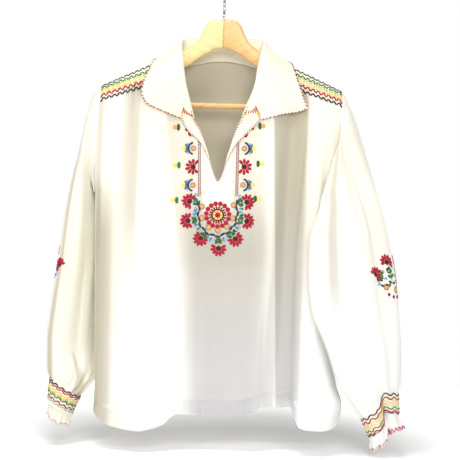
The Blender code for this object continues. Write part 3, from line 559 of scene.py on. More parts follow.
# Lapels from the top down: the fold's x and z, then the outer edge's x and z
LAPEL_LEFT = (
    (-0.0512, -0.2205, -0.0655, -0.2130),
    (-0.0490, -0.2270, -0.0690, -0.2260),
    (-0.0470, -0.2330, -0.0680, -0.2352),
    (-0.0415, -0.2430, -0.0630, -0.2465),
    (-0.0350, -0.2525, -0.0540, -0.2575),
    (-0.0285, -0.2680, -0.0395, -0.2690),
    (-0.0228, -0.2845, -0.0285, -0.2820),
    (-0.0180, -0.3005, -0.0203, -0.2993),
)
LAPEL_RIGHT = (
    (0.0440, -0.2105, 0.0590, -0.2085),
    (0.0400, -0.2190, 0.0660, -0.2230),
    (0.0360, -0.2262, 0.0690, -0.2336),
    (0.0320, -0.2355, 0.0555, -0.2460),
    (0.0262, -0.2490, 0.0420, -0.2600),
    (0.0195, -0.2680, 0.0290, -0.2730),
    (0.0124, -0.2930, 0.0182, -0.2895),
    (0.0099, -0.3060, 0.0122, -0.3048),
)

# Sleeves: the outer and the inner line of each, and how far it stands out to front and back
SLEEVE_COLUMNS = (
    "along",
    "out_x", "out_y", "out_z",
    "in_x", "in_y", "in_z",
    "front", "back", "skew", "lean",
)
SLEEVE_LEFT = {
    "columns": SLEEVE_COLUMNS,
    "rows": (
        (0.04, -0.2225, 0.000, -0.1900, -0.2190, 0.006, -0.3615, 0.031, 0.033, -0.1, 0.0),
        (0.10, -0.2325, 0.000, -0.2160, -0.2215, 0.016, -0.3640, 0.031, 0.036, -0.3, 0.0),
        (0.18, -0.2400, 0.000, -0.2480, -0.2220, 0.030, -0.3690, 0.031, 0.038, -0.7, 0.0),
        (0.27, -0.2475, 0.000, -0.2900, -0.2170, 0.045, -0.3770, 0.031, 0.040, -1.0, 0.0),
        (0.37, -0.2568, 0.001, -0.3430, -0.2090, 0.058, -0.3930, 0.032, 0.038, -1.0, 0.0),
        (0.48, -0.2665, 0.002, -0.4100, -0.2050, 0.064, -0.4350, 0.034, 0.038, -1.0, 0.0),
        (0.60, -0.2755, 0.003, -0.4850, -0.2030, 0.066, -0.4980, 0.036, 0.040, -1.0, 0.0),
        (0.74, -0.2862, 0.003, -0.5570, -0.2030, 0.066, -0.5660, 0.037, 0.042, -1.0, 0.0),
        (0.86, -0.2930, 0.002, -0.6250, -0.2040, 0.060, -0.6350, 0.036, 0.040, -1.0, 0.0),
        (0.94, -0.2920, 0.001, -0.6680, -0.2100, 0.040, -0.6830, 0.033, 0.036, -0.6, 0.0),
        (1.00, -0.2873, 0.000, -0.6905, -0.2362, 0.012, -0.7215, 0.027, 0.028, 0.0, 0.0),
    ),
}
SLEEVE_RIGHT = {
    "columns": SLEEVE_COLUMNS,
    "rows": (
        (0.04, 0.2170, 0.000, -0.1905, 0.2025, -0.006, -0.3450, 0.030, 0.032, 0.0, 0.003),
        (0.10, 0.2268, -0.003, -0.2097, 0.2035, -0.022, -0.3500, 0.030, 0.034, 0.1, 0.014),
        (0.17, 0.2370, -0.006, -0.2354, 0.2020, -0.040, -0.3570, 0.028, 0.036, 0.4, 0.024),
        (0.25, 0.2503, -0.010, -0.2784, 0.1920, -0.052, -0.3650, 0.026, 0.038, 0.8, 0.026),
        (0.35, 0.2636, -0.014, -0.3231, 0.1780, -0.059, -0.3770, 0.026, 0.038, 1.0, 0.022),
        (0.45, 0.2769, -0.018, -0.3696, 0.1667, -0.064, -0.3950, 0.026, 0.036, 1.0, 0.010),
        (0.56, 0.2924, -0.022, -0.4298, 0.1550, -0.070, -0.4330, 0.028, 0.034, 1.0, 0.0),
        (0.66, 0.3060, -0.024, -0.4890, 0.1540, -0.074, -0.4900, 0.028, 0.034, 1.0, 0.0),
        (0.76, 0.3135, -0.026, -0.5500, 0.1600, -0.076, -0.5500, 0.028, 0.034, 1.0, 0.0),
        (0.86, 0.3190, -0.026, -0.6150, 0.1860, -0.074, -0.6150, 0.030, 0.034, 0.8, 0.0),
        (0.94, 0.3205, -0.024, -0.6680, 0.2130, -0.064, -0.6850, 0.030, 0.032, 0.4, 0.0),
        (1.00, 0.3177, -0.020, -0.7010, 0.2556, -0.044, -0.7440, 0.026, 0.028, 0.0, 0.0),
    ),
}
# Folds along a sleeve: the angle where each runs at the top and at the cuff, half width, height
SLEEVE_FOLDS = {
    "left": (
        (40, 60, 16, 0.0030),
        (75, 85, 12, -0.0035),
        (105, 100, 14, 0.0040),
        (140, 130, 14, -0.0030),
        (200, 215, 20, 0.0040),
        (235, 240, 14, -0.0035),
        (275, 270, 22, 0.0045),
        (320, 310, 18, -0.0030),
    ),
    "right": (
        (35, 40, 14, 0.0030),
        (62, 58, 10, -0.0040),
        (85, 76, 14, 0.0040),
        (112, 100, 12, -0.0030),
        (135, 132, 14, 0.0030),
        (215, 225, 18, -0.0025),
        (262, 262, 24, 0.0045),
        (310, 300, 18, -0.0030),
    ),
}


def ring(row, angles):
    """One ring of a sleeve or cuff; the angle goes from the outer line over the front."""
    out_p = np.array(row[0:3])
    in_p = np.array(row[3:6])
    front, behind, skew = row[6:9]
    lean = row[9] if len(row) > 9 else 0.0
    middle = (out_p + in_p) / 2
    half = (out_p - in_p) / 2
    axis = unit(half)
    ahead = np.array([0.0, -1.0, 0.0])
    ahead = unit(ahead - axis * float(np.dot(ahead, axis)))
    c, s = np.cos(angles), np.sin(angles)
    thin = 1 - max(skew, 0) * (1 - c) / 2
    slim = 1 - max(-skew, 0) * (1 - c) / 2
    reach = np.where(s >= 0, front * s * slim, behind * s * thin)
    points = middle + half * c[:, None] + ahead * reach[:, None]
    points[:, 0] -= lean * np.maximum(s, 0) * (1 - 0.5 * c)
    return points


def armhole_ring(side, angles, out):
    """The body's own armhole edge, moved out by one gap."""
    top = float(ridge(SHOULDER_X[side]))
    z = top + (ARMPIT_Z[side] - top) * (1 - np.cos(angles)) / 2
    y = np.where(np.sin(angles) >= 0, -1, 1) * edge_depth(side, z)
    y[np.abs(np.sin(angles)) < 1e-6] = 0
    x = curve(EDGES, SIDES[side], -z)
    low = np.clip((np.cos(angles) + 0.75) / -0.25, 0, 1)
    away = out + low * (CLOTH / 2 + 0.0003) + 0.0004 * np.abs(np.sin(angles))
    return np.stack([x + (-away if side == 0 else away), y, z], axis=-1)


def tube(table, side, alongs, count):
    """A sleeve with its large folds, from the armhole's edge to the cuff."""
    angles = np.linspace(0, 2 * math.pi, count, endpoint=False)
    turn = np.degrees(angles)
    rows = [armhole_ring(side, angles, GAP)]
    for s in alongs:
        points = ring(values_at(table, s), angles)
        share = np.sin(math.pi * np.clip(s, 0, 1)) ** 0.6
        blend = np.clip(s / 0.12, 0, 1)
        out = np.zeros(count)
        for top, low, wide, high in SLEEVE_FOLDS[SIDES[side]]:
            out += high * hump(apart(turn, top + (low - top) * s), wide)
        thin = 1 - 0.75 * hump(turn - 180, 25)
        radial = unit(points - points.mean(axis=0))
        rows.append(points + radial * (out * share * blend * thin)[:, None])
    return np.array(rows), angles


def oriented(grid, side):
    """Rows run down; the angle runs the way that keeps the outer face out."""
    return grid if side == 0 else grid[:, ::-1]


# Cuffs and ruffles
CUFF_COLUMNS = ("along", "out_x", "out_y", "out_z", "in_x", "in_y", "in_z", "front", "back", "skew")
CUFF_LEFT = {
    "columns": CUFF_COLUMNS,
    "rows": (
        (0.0, -0.2873, 0.000, -0.6905, -0.2362, 0.012, -0.7215, 0.027, 0.028, 0.0),
        (0.5, -0.2895, 0.000, -0.7095, -0.2435, 0.008, -0.7380, 0.025, 0.026, 0.0),
        (1.0, -0.2905, 0.000, -0.7290, -0.2500, 0.006, -0.7545, 0.024, 0.025, 0.0),
        (2.0, -0.2975, 0.000, -0.7480, -0.2520, 0.006, -0.7770, 0.027, 0.028, 0.0),
    ),
}
CUFF_RIGHT = {
    "columns": CUFF_COLUMNS,
    "rows": (
        (0.0, 0.3177, -0.020, -0.7010, 0.2556, -0.044, -0.7440, 0.026, 0.028, 0.0),
        (0.5, 0.3185, -0.020, -0.7190, 0.2635, -0.042, -0.7600, 0.025, 0.026, 0.0),
        (1.0, 0.3190, -0.020, -0.7360, 0.2705, -0.040, -0.7750, 0.024, 0.025, 0.0),
        (2.0, 0.3270, -0.020, -0.7600, 0.2745, -0.040, -0.7970, 0.028, 0.028, 0.0),
    ),
}
CUFF_FOLD = {"left": (20, 0.0), "right": (96, -0.012)}
RUFFLE_WAVES = 11
RUFFLE_HIGH = 0.0045


def cuff_ring(side, s, angles):
    """A ring of a cuff, with its pleat; from one to two it is a ring of the ruffle."""
    points = ring(values_at((CUFF_LEFT, CUFF_RIGHT)[side], s), angles)
    at, deep = CUFF_FOLD[SIDES[side]]
    share = min(s / 0.8, 1.0)
    radial = unit(points - points.mean(axis=0))
    return points + radial * (deep * share * hump(apart(np.degrees(angles), at), 17))[:, None]


# Hanger: two wooden arms that meet at the middle
ARM = {
    "columns": ("x", "top", "low", "half"),
    "rows": (
        (0.00015, -0.0555, -0.1046, 0.0070),
        (0.0120, -0.0560, -0.1070, 0.0070),
        (0.0240, -0.0590, -0.1130, 0.0070),
        (0.0310, -0.0670, -0.1170, 0.0070),
        (0.0370, -0.0810, -0.1210, 0.0070),
        (0.0440, -0.0935, -0.1260, 0.0070),
        (0.0560, -0.1040, -0.1350, 0.0070),
        (0.0690, -0.1120, -0.1425, 0.0070),
        (0.1000, -0.1268, -0.1590, 0.0070),
        (0.1400, -0.1460, -0.1795, 0.0070),
        (0.1735, -0.1625, -0.1965, 0.0070),
        (0.1765, -0.1640, -0.2150, 0.0070),
        (0.1880, -0.1695, -0.2175, 0.0070),
        (0.1960, -0.1740, -0.2150, 0.0064),
        (0.2030, -0.1810, -0.2070, 0.0050),
    ),
}


# Materials
def linear(red, green, blue):
    """A colour given as 0 to 255 for each part, as the shaders use it."""
    parts = np.array((red, green, blue)) / 255
    parts = np.where(parts <= 0.04045, parts / 12.92, ((parts + 0.055) / 1.055) ** 2.4)
    return tuple(parts.tolist()) + (1.0,)


def new_material(name):
    mat = bpy.data.materials.new(name)
    mat.use_nodes = True
    mat.node_tree.nodes.clear()
    return mat, mat.node_tree


def add_node(tree, kind, inputs=(), **settings):
    """A node with its settings, and its inputs linked or set."""
    made = tree.nodes.new(kind)
    for key, value in settings.items():
        setattr(made, key, value)
    for socket, value in dict(inputs).items():
        if isinstance(value, bpy.types.NodeSocket):
            tree.links.new(value, made.inputs[socket])
        else:
            made.inputs[socket].default_value = value
    return made


def bands(tree, place, pitch, direction):
    """Fine parallel threads, a value between 0 and 1."""
    inputs = {"Vector": place, "Scale": 0.314 / pitch, "Distortion": 0.6, "Detail": 1.0}
    settings = {"wave_type": "BANDS", "bands_direction": direction}
    return add_node(tree, "ShaderNodeTexWave", inputs, **settings).outputs["Fac"]


def noise(tree, place, scale, detail, roughness=0.5):
    inputs = {"Vector": place, "Scale": scale, "Detail": detail, "Roughness": roughness}
    return add_node(tree, "ShaderNodeTexNoise", inputs).outputs["Fac"]


def ranged(tree, value, low, high, to_low=0.0, to_high=1.0):
    """A value brought from one range into another."""
    inputs = {"Value": value, "From Min": low, "From Max": high}
    inputs.update({"To Min": to_low, "To Max": to_high})
    return add_node(tree, "ShaderNodeMapRange", inputs).outputs[0]


def scaled(tree, place, scale):
    return add_node(tree, "ShaderNodeMapping", {"Vector": place, "Scale": scale}).outputs[0]


def bumped(tree, height, strength, distance):
    inputs = {"Height": height, "Strength": strength, "Distance": distance}
    return add_node(tree, "ShaderNodeBump", inputs).outputs[0]


def mixed(tree, share, first, second):
    inputs = {0: share, 6: first, 7: second}
    return add_node(tree, "ShaderNodeMix", inputs, data_type="RGBA").outputs[2]


def combined(tree, operation, first, second):
    return add_node(tree, "ShaderNodeMath", {0: first, 1: second}, operation=operation).outputs[0]


def layered(tree, share, first, second):
    return add_node(tree, "ShaderNodeMixShader", {0: share, 1: first, 2: second}).outputs[0]


def object_place(tree):
    return add_node(tree, "ShaderNodeTexCoord").outputs["Object"]


def cloth_place(tree):
    return add_node(tree, "ShaderNodeUVMap", uv_map="cloth").outputs["UV"]


def point_value(tree, name):
    return add_node(tree, "ShaderNodeAttribute", attribute_name=name).outputs["Fac"]


def darker(colour, share):
    return tuple(share * c for c in colour[:3]) + (1.0,)


def show(tree, surface):
    """Joins a surface to the material's output."""
    add_node(tree, "ShaderNodeOutputMaterial", {"Surface": surface})


def cloth_material(name, light, shade, through, sheer):
    """A fine plain weave with a crepe surface, which light passes through.

    through is the share of light scattered through it. A sheer cloth is see-through
    where the piece's own "layers" value is below one. Where its painted shade value is
    above nothing, painted shade in the colour of the unlit inside is mixed into it, and
    towards its lower middle it is painted in cooler light.
    """
    mat, tree = new_material(name)
    uv = cloth_place(tree)
    across = bands(tree, uv, WEAVE_PITCH, "X")
    along = bands(tree, uv, WEAVE_PITCH, "Y")
    weave = combined(tree, "MULTIPLY", across, along)
    crepe = noise(tree, scaled(tree, uv, (520.0, 70.0, 1.0)), 1.0, 3.0, 0.6)
    place = object_place(tree)
    patchy = ranged(tree, noise(tree, place, 7.0, 2.0), 0.35, 0.70)
    tint = mixed(tree, patchy, light, shade)
    if sheer:
        # Painted light: below the chest and away from the left side the tones turn cooler, as under
        # a cooler light
        spot = add_node(tree, "ShaderNodeSeparateXYZ", {"Vector": place}).outputs
        down = ranged(tree, spot["Z"], -0.32, -0.66)
        inward = ranged(tree, spot["X"], -0.20, -0.12)
        lower = combined(tree, "MULTIPLY", down, inward)
        tint = mixed(tree, lower, tint, mixed(tree, patchy, LIGHT_COOL, SHADE_COOL))
        # Painted shade: the colour of the unlit inside, cooler lower down, mixed in by the piece's
        # painted shade value
        inside = mixed(tree, lower, INSIDE_SHADE_IVORY, INSIDE_SHADE_COOL)
        tint = mixed(tree, point_value(tree, "painted_shade"), tint, inside)
    threads = combined(tree, "MULTIPLY", combined(tree, "ADD", weave, crepe), 0.10)
    tint = mixed(tree, threads, tint, darker(shade, 0.86))
    height = combined(tree, "ADD", combined(tree, "MULTIPLY", crepe, 1.6), weave)
    bump = bumped(tree, height, 0.22, 0.0003)
    shader = add_node(
        tree,
        "ShaderNodeBsdfPrincipled",
        {
            "Base Color": tint,
            "Roughness": 0.78,
            "Normal": bump,
            "Specular IOR Level": 0.22,
            "Sheen Weight": 0.22,
            "Sheen Roughness": 0.45,
        },
    )
    glow = add_node(tree, "ShaderNodeBsdfTranslucent", {"Color": tint, "Normal": bump})
    surface = layered(tree, through, shader.outputs[0], glow.outputs[0])
    if sheer:
        clear = add_node(tree, "ShaderNodeBsdfTransparent")
        surface = layered(tree, point_value(tree, "layers"), clear.outputs[0], surface)
    show(tree, surface)
    return mat


def thread_material(name, colour):
    """Glossy embroidery thread with its twist."""
    mat, tree = new_material(name)
    twist = bands(tree, cloth_place(tree), 0.0007, "DIAGONAL")
    uneven = noise(tree, object_place(tree), 260.0, 2.0)
    share = combined(tree, "MULTIPLY", combined(tree, "ADD", twist, uneven), 0.42)
    shader = add_node(
        tree,
        "ShaderNodeBsdfPrincipled",
        {
            "Base Color": mixed(tree, share, colour, darker(colour, 0.74)),
            "Roughness": 0.48,
            "Normal": bumped(tree, twist, 0.45, 0.0002),
            "Specular IOR Level": 0.22,
            "Sheen Weight": 0.04,
        },
    )
    show(tree, shader.outputs[0])
    return mat


def wood_material(name, light, dark, tilt):
    """Planed beech: fine grain along the piece, small pores and a satin coat."""
    mat, tree = new_material(name)
    turned = add_node(
        tree, "ShaderNodeMapping", {"Vector": object_place(tree), "Rotation": (0.0, tilt, 0.0)}
    ).outputs[0]
    grain = noise(tree, scaled(tree, turned, (9.0, 90.0, 210.0)), 1.0, 5.0)
    pores = noise(tree, scaled(tree, turned, (260.0, 1500.0, 1500.0)), 1.0, 2.0)
    lines = combined(tree, "MULTIPLY", ranged(tree, grain, 0.35, 0.68), 0.6)
    tint = mixed(tree, lines, light, dark)
    specks = combined(tree, "MULTIPLY", ranged(tree, pores, 0.62, 0.75), 0.5)
    shader = add_node(
        tree,
        "ShaderNodeBsdfPrincipled",
        {
            "Base Color": mixed(tree, specks, tint, darker(dark, 0.55)),
            "Roughness": 0.42,
            "Normal": bumped(tree, combined(tree, "ADD", grain, pores), 0.15, 0.0004),
            "Coat Weight": 0.25,
            "Coat Roughness": 0.30,
        },
    )
    show(tree, shader.outputs[0])
    return mat


def steel_material(name):
    """Drawn wire with a fine uneven shine."""
    mat, tree = new_material(name)
    drawn = noise(tree, object_place(tree), 900.0, 2.0)
    shader = add_node(
        tree,
        "ShaderNodeBsdfPrincipled",
        {
            "Base Color": (0.63, 0.63, 0.64, 1.0),
            "Metallic": 1.0,
            "Roughness": ranged(tree, drawn, 0.0, 1.0, 0.16, 0.34),
            "Normal": bumped(tree, drawn, 0.08, 0.0001),
        },
    )
    show(tree, shader.outputs[0])
    return mat


WEAVE_PITCH = 0.0006
LIGHT_IVORY = (0.93, 0.91, 0.82, 1.0)
SHADE_IVORY = (0.88, 0.85, 0.72, 1.0)
# Cooler tones for the painted cooler light low on the sheer cloth
LIGHT_COOL = (0.93, 0.925, 0.915, 1.0)
SHADE_COOL = (0.88, 0.865, 0.84, 1.0)
# Painted shade: the colour of the unlit inside seen through a single layer
INSIDE_SHADE_IVORY = (0.50, 0.44, 0.32, 1.0)
INSIDE_SHADE_COOL = (0.52, 0.51, 0.53, 1.0)
SHEER = cloth_material("sheer_ivory", LIGHT_IVORY, SHADE_IVORY, 0.12, True)
DENSE = cloth_material(
    "double_ivory", (0.89, 0.86, 0.71, 1.0), (0.88, 0.81, 0.61, 1.0), 0.08, False
)
SMOCKED = cloth_material(
    "smocked_ivory", (0.87, 0.84, 0.72, 1.0), (0.85, 0.80, 0.64, 1.0), 0.08, False
)
THREADS = {
    "red": linear(172, 20, 46),
    "pink": linear(222, 104, 134),
    "rose": linear(204, 130, 134),
    "maroon": linear(62, 10, 20),
    "wine": linear(138, 28, 44),
    "green": linear(52, 118, 46),
    "forest": linear(34, 84, 38),
    "slate": linear(92, 118, 146),
    "lime": linear(140, 186, 84),
    "yellow": linear(248, 220, 104),
    "orange": linear(232, 158, 84),
    "peach": linear(248, 202, 148),
    "navy": linear(44, 56, 78),
    "sky": linear(146, 178, 204),
    "brown": linear(96, 66, 40),
    "grey": linear(120, 122, 128),
    "black": linear(44, 38, 36),
    "white": linear(246, 243, 236),
    "straw": linear(244, 232, 170),
}
INKS = list(THREADS)
EDGE_INKS = ("red", "wine")
THREAD_MATERIALS = [thread_material("thread_" + ink, THREADS[ink]) for ink in INKS]
PALE_WOOD = wood_material("pale_beech", linear(244, 220, 158), linear(220, 182, 108), -0.45)
WARM_WOOD = wood_material("warm_beech", linear(232, 188, 124), linear(204, 150, 84), 0.45)
STEEL = steel_material("drawn_steel")


# Meshes
def make(name, points, faces, corners, mats, kinds=None):
    """A mesh of quads with distances in metres on its corners, for the weave."""
    mesh = bpy.data.meshes.new(name)
    mesh.from_pydata(np.asarray(points).tolist(), [], np.asarray(faces).tolist())
    mesh.polygons.foreach_set("use_smooth", np.ones(len(mesh.polygons), bool))
    layer = mesh.uv_layers.new(name="cloth")
    layer.data.foreach_set("uv", np.asarray(corners, np.float32).ravel())
    for mat in mats:
        mesh.materials.append(mat)
    if kinds is not None:
        mesh.polygons.foreach_set("material_index", np.asarray(kinds, np.int32))
    mesh.update()
    obj = bpy.data.objects.new(name, mesh)
    bpy.context.scene.collection.objects.link(obj)
    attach(obj, "root")
    return obj


def normals(grid, closed):
    """Unit normals of a grid of points, the cross product of down and across."""
    if closed:
        across = np.roll(grid, -1, axis=1) - np.roll(grid, 1, axis=1)
    else:
        across = np.gradient(grid, axis=1)
    down = np.gradient(grid, axis=0)
    return unit(np.cross(down, across))


def lengths(grid, closed):
    """Distances across and down a grid in metres, with one more column if it is closed."""
    full = np.concatenate([grid, grid[:, :1]], axis=1) if closed else grid
    across = np.linalg.norm(np.diff(full, axis=1), axis=2)
    down = np.linalg.norm(np.diff(full, axis=0), axis=2)
    u = np.concatenate([np.zeros((len(full), 1)), np.cumsum(across, axis=1)], axis=1)
    v = np.concatenate([np.zeros((1, full.shape[1])), np.cumsum(down, axis=0)], axis=0)
    u = u - u[:, -1:] / 2
    return np.stack([u, -v], axis=-1)


def quads(rows, cols, closed):
    """Rows and columns of the four corners of each face of a grid."""
    spans = cols if closed else cols - 1
    r, c = np.meshgrid(np.arange(rows - 1), np.arange(spans), indexing="ij")
    r = r.ravel()
    c = c.ravel()
    return np.stack([r, r + 1, r + 1, r], axis=1), np.stack([c, c, c + 1, c + 1], axis=1)


def add_values(obj, key, field):
    """A number for each point of a piece, which its material reads."""
    values = obj.data.attributes.new(key, "FLOAT", "POINT")
    values.data.foreach_set("value", np.asarray(field, np.float32).ravel())


def single(name, grid, mat, layers, painted_shade=None, closed=False):
    """A single thickness of cloth, with how dense each point of it is and how much painted shade it
    has.
    """
    rows, cols = grid.shape[:2]
    rr, cc = quads(rows, cols, closed)
    uv = lengths(grid, closed)
    obj = make(name, grid.reshape(-1, 3), rr * cols + cc % cols, uv[rr, cc], [mat])
    add_values(obj, "layers", layers)
    add_values(obj, "painted_shade", 0.9 * (1 - layers) if painted_shade is None else painted_shade)
    return obj


def solid(name, grid, mat):
    """A closed skin round rings that shrink at both ends."""
    rows, cols = grid.shape[:2]
    rr, cc = quads(rows, cols, True)
    faces = (rr * cols + cc % cols)[:, ::-1]
    uv = lengths(grid, True)
    return make(name, grid.reshape(-1, 3), faces, uv[rr, cc][:, ::-1], [mat])


def shell(name, grid, mat, closed=False, relief=None, thick=CLOTH, fields=None):
    """A closed wall of cloth round a grid; relief raises the outer side; fields differ by side."""
    n = normals(grid, closed)
    raised = np.zeros(grid.shape[:2]) if relief is None else relief
    outer = grid + n * (thick / 2 + raised)[..., None]
    inner = grid - n * (thick / 2 - 0.35 * raised)[..., None]
    rows, cols = grid.shape[:2]
    count = rows * cols
    rr, cc = quads(rows, cols, closed)
    uv = lengths(grid, closed)
    index = rr * cols + cc % cols
    faces = [index, index[:, ::-1] + count]
    corners = [uv[rr, cc], uv[rr, cc][:, ::-1]]
    spans = np.arange(cols if closed else cols - 1)
    for row, order in ((0, 1), (rows - 1, -1)):
        a = row * cols + spans
        b = row * cols + (spans + 1) % cols
        faces.append(np.stack([a, b, b + count, a + count], axis=1)[:, ::order])
        ends = np.stack([uv[row, spans], uv[row, spans + 1]] * 2, axis=1)[:, [0, 1, 3, 2]]
        corners.append(ends[:, ::order])
    if not closed:
        spans = np.arange(rows - 1)
        for col, order in ((0, -1), (cols - 1, 1)):
            a = spans * cols + col
            b = (spans + 1) * cols + col
            faces.append(np.stack([a, b, b + count, a + count], axis=1)[:, ::order])
            ends = np.stack([uv[spans, col], uv[spans + 1, col]] * 2, axis=1)[:, [0, 1, 3, 2]]
            corners.append(ends[:, ::order])
    points = np.concatenate([outer.reshape(-1, 3), inner.reshape(-1, 3)])
    obj = make(name, points, np.concatenate(faces), np.concatenate(corners), [mat])
    for key, (outside, inside) in (fields or {}).items():
        add_values(obj, key, np.concatenate([outside.ravel(), inside.ravel()]))
    return obj


class Ground:
    """A surface that stitches lie on: a grid of points and its outward directions."""

    def __init__(self, grid, closed=False, flip=False):
        out = normals(grid, closed) * (-1 if flip else 1)
        if closed:
            grid = np.concatenate([grid, grid, grid[:, :1]], axis=1)
            out = np.concatenate([out, out, out[:, :1]], axis=1)
        self.grid = grid
        self.out = out

    def at(self, row, col):
        rows, cols = self.grid.shape[:2]
        row = np.clip(np.asarray(row, float), 0, rows - 1.0001)
        col = np.clip(np.asarray(col, float), 0, cols - 1.0001)
        r = row.astype(int)
        c = col.astype(int)
        p = (row - r)[..., None]
        q = (col - c)[..., None]

        def between(field):
            upper = field[r, c] * (1 - q) + field[r, c + 1] * q
            lower = field[r + 1, c] * (1 - q) + field[r + 1, c + 1] * q
            return upper * (1 - p) + lower * p

        return between(self.grid), unit(between(self.out))


FLATNESS = 0.6


class Stitching:
    """Raised threads gathered into one mesh, each face in the colour of its thread."""

    def __init__(self):
        self.points = []
        self.faces = []
        self.corners = []
        self.kinds = []
        self.count = 0

    def lay(self, grid, ink, closed=False):
        rows, cols = grid.shape[:2]
        rr, cc = quads(rows, cols, closed)
        uv = lengths(grid, closed)
        self.points.append(grid.reshape(-1, 3))
        self.faces.append(rr * cols + cc % cols + self.count)
        self.corners.append(uv[rr, cc])
        self.kinds.append(np.full(len(rr), INKS.index(ink)))
        self.count += rows * cols

    def strand(self, spot, path, radius, ink, lift=0.0003, sides=6):
        """A thread along a path on the cloth, tapered to nothing at both ends."""
        path = np.asarray(path, float)
        points, out = spot(path[:, 0], path[:, 1])
        self.rope(points + out * lift, out, radius, ink, sides)

    def rope(self, points, out, radius, ink, sides=6):
        """A thread through points, somewhat flat, with its ends drawn in."""
        ahead = unit(np.gradient(points, axis=0))
        beside = unit(np.cross(ahead, out))
        above = np.cross(beside, ahead) * FLATNESS
        first = points[:1] - ahead[:1] * radius
        last = points[-1:] + ahead[-1:] * radius
        points = np.concatenate([first, points, last])
        beside = np.concatenate([beside[:1], beside, beside[-1:]])[:, None]
        above = np.concatenate([above[:1], above, above[-1:]])[:, None]
        size = np.full(len(points), radius)
        size[0] = size[-1] = radius * 0.08
        turn = np.linspace(0, 2 * math.pi, sides, endpoint=False)[None, :, None]
        around = np.cos(turn) * beside + np.sin(turn) * above
        self.lay(points[:, None] + around * size[:, None, None], ink, True)

    def petal(self, spot, at, turn, long, wide, high, ink, blunt=0.85):
        """A padded satin-stitched leaf that starts at a point and runs one way."""
        u = np.linspace(0, 1, 8)[:, None]
        v = np.linspace(-1, 1, 7)[None, :]
        half = wide / 2 * np.maximum(np.sin(np.pi * u**blunt), 0.0) ** 0.6 + 0.00008
        a = long * u + 0 * v
        b = half * v
        c, s = math.cos(turn), math.sin(turn)
        points, out = spot(at[0] + c * a - s * b, at[1] + s * a + c * b)
        rise = high * np.sqrt(np.maximum(1 - v**2, 0)) * np.sin(np.pi * u) ** 0.5
        self.lay(points + out * (0.00015 + rise)[..., None], ink)

    def dot(self, spot, at, radius, high, ink, hole=0.0):
        """A padded round spot, or a ring where it has a hole."""
        t = np.linspace(0, 1, 5)[:, None]
        around = np.linspace(0, 2 * math.pi, 16, endpoint=False)[None, :]
        r = hole + (radius - hole) * t + 0.00005
        points, out = spot(at[0] + r * np.cos(around), at[1] - r * np.sin(around))
        if hole > 0:
            rise = high * np.sin(np.pi * t) ** 0.7
        else:
            rise = high * np.sqrt(np.maximum(1 - t**2, 0))
        self.lay(points + out * (0.00015 + rise + 0 * around)[..., None], ink, True)

    def piece(self, name):
        points = np.concatenate(self.points)
        faces = np.concatenate(self.faces)
        corners = np.concatenate(self.corners)
        kinds = np.concatenate(self.kinds)
        used = sorted(set(kinds.tolist()))
        place = np.array([used.index(k) if k in used else 0 for k in range(len(INKS))])
        mats = [THREAD_MATERIALS[k] for k in used]
        obj = make(name, points, faces, corners, mats, place[kinds])
        return obj


def rounded(points, times=3):
    """A path with its corners cut off again and again, until it is a curve."""
    points = np.asarray(points, float)
    for _ in range(times):
        first = points[:-1] * 0.75 + points[1:] * 0.25
        second = points[:-1] * 0.25 + points[1:] * 0.75
        middle = np.stack([first, second], axis=1).reshape(-1, points.shape[1])
        points = np.concatenate([points[:1], middle, points[-1:]])
    return points


def point_on(line, steps, at):
    """The point of a line at a distance along it."""
    return np.array([np.interp(at, steps, line[:, j]) for j in (0, 1)])


def facing(way, axis, count):
    """The same direction along one axis, for each of some points."""
    out = np.zeros((count, 3))
    out[:, axis] = way
    return out


def finer(values, times):
    """The same row of places with several steps in each gap."""
    values = np.asarray(values, float)
    at = np.linspace(0, len(values) - 1, (len(values) - 1) * times + 1)
    return np.interp(at, np.arange(len(values)), values)


# Front and back
def columns(*stretches):
    """Places across a panel: close together at both side edges, then even stretches."""
    left, right = SHOULDER_X
    turn = [SIDE_ROUND * (1 - math.cos(math.radians(a))) for a in (0, 25, 50, 72)]
    xs = [left + t for t in turn]
    for stretch in stretches:
        xs += list(stretch)
    xs += [right - t for t in reversed(turn)]
    return finer(xs, 4)


FRONT_COLUMNS = columns(
    np.linspace(-0.180, -0.0865, 17),
    np.linspace(-NECK_HALF, SLIT_X, 13),
    np.linspace(SLIT_X, NECK_HALF, 14)[1:],
    np.linspace(0.0860, 0.1385, 11),
    STEP_X + np.array([-0.0055, -0.0025, 0.0, 0.0025, 0.0055]),
    np.linspace(0.160, 0.184, 5),
)
BACK_COLUMNS = columns(
    np.linspace(-0.178, -0.0865, 16),
    np.linspace(-NECK_HALF, NECK_HALF, 20),
    np.linspace(0.0860, 0.174, 16),
)
# The hem turned up inside: height above the hem's edge, and how far inside the cloth
HEM_UP = (-0.0004, 0.0004, 0.004, 0.010, 0.016, 0.022, HEM_HIGH)
HEM_IN = (0.0004, 0.0009, 0.0011, 0.0011, 0.0011, 0.0010, 0.0009)


def body_cloth(front, base, count):
    """Points of the front or back: down from its upper edge and up inside the hem."""
    top = front_top(base) if front else back_top(base)
    side = "front" if front else "back"
    hem = np.full_like(base, -0.74)
    for _ in range(6):
        hem = curve(HEM, side, shifted(base, hem))
    share = (np.linspace(0, 1, count) ** 1.2)[:, None]
    z = top[None, :] + (hem - top)[None, :] * share
    z = np.concatenate([z, hem[None, :] + np.array(HEM_UP)[:, None]])
    inner = np.concatenate([np.zeros(count), HEM_IN])[:, None]
    x = shifted(np.broadcast_to(base, z.shape), z)
    y = np.maximum(cloth_y(front, x, z) - inner, GAP / 2)
    return np.stack([x, -y if front else y, z], axis=-1)
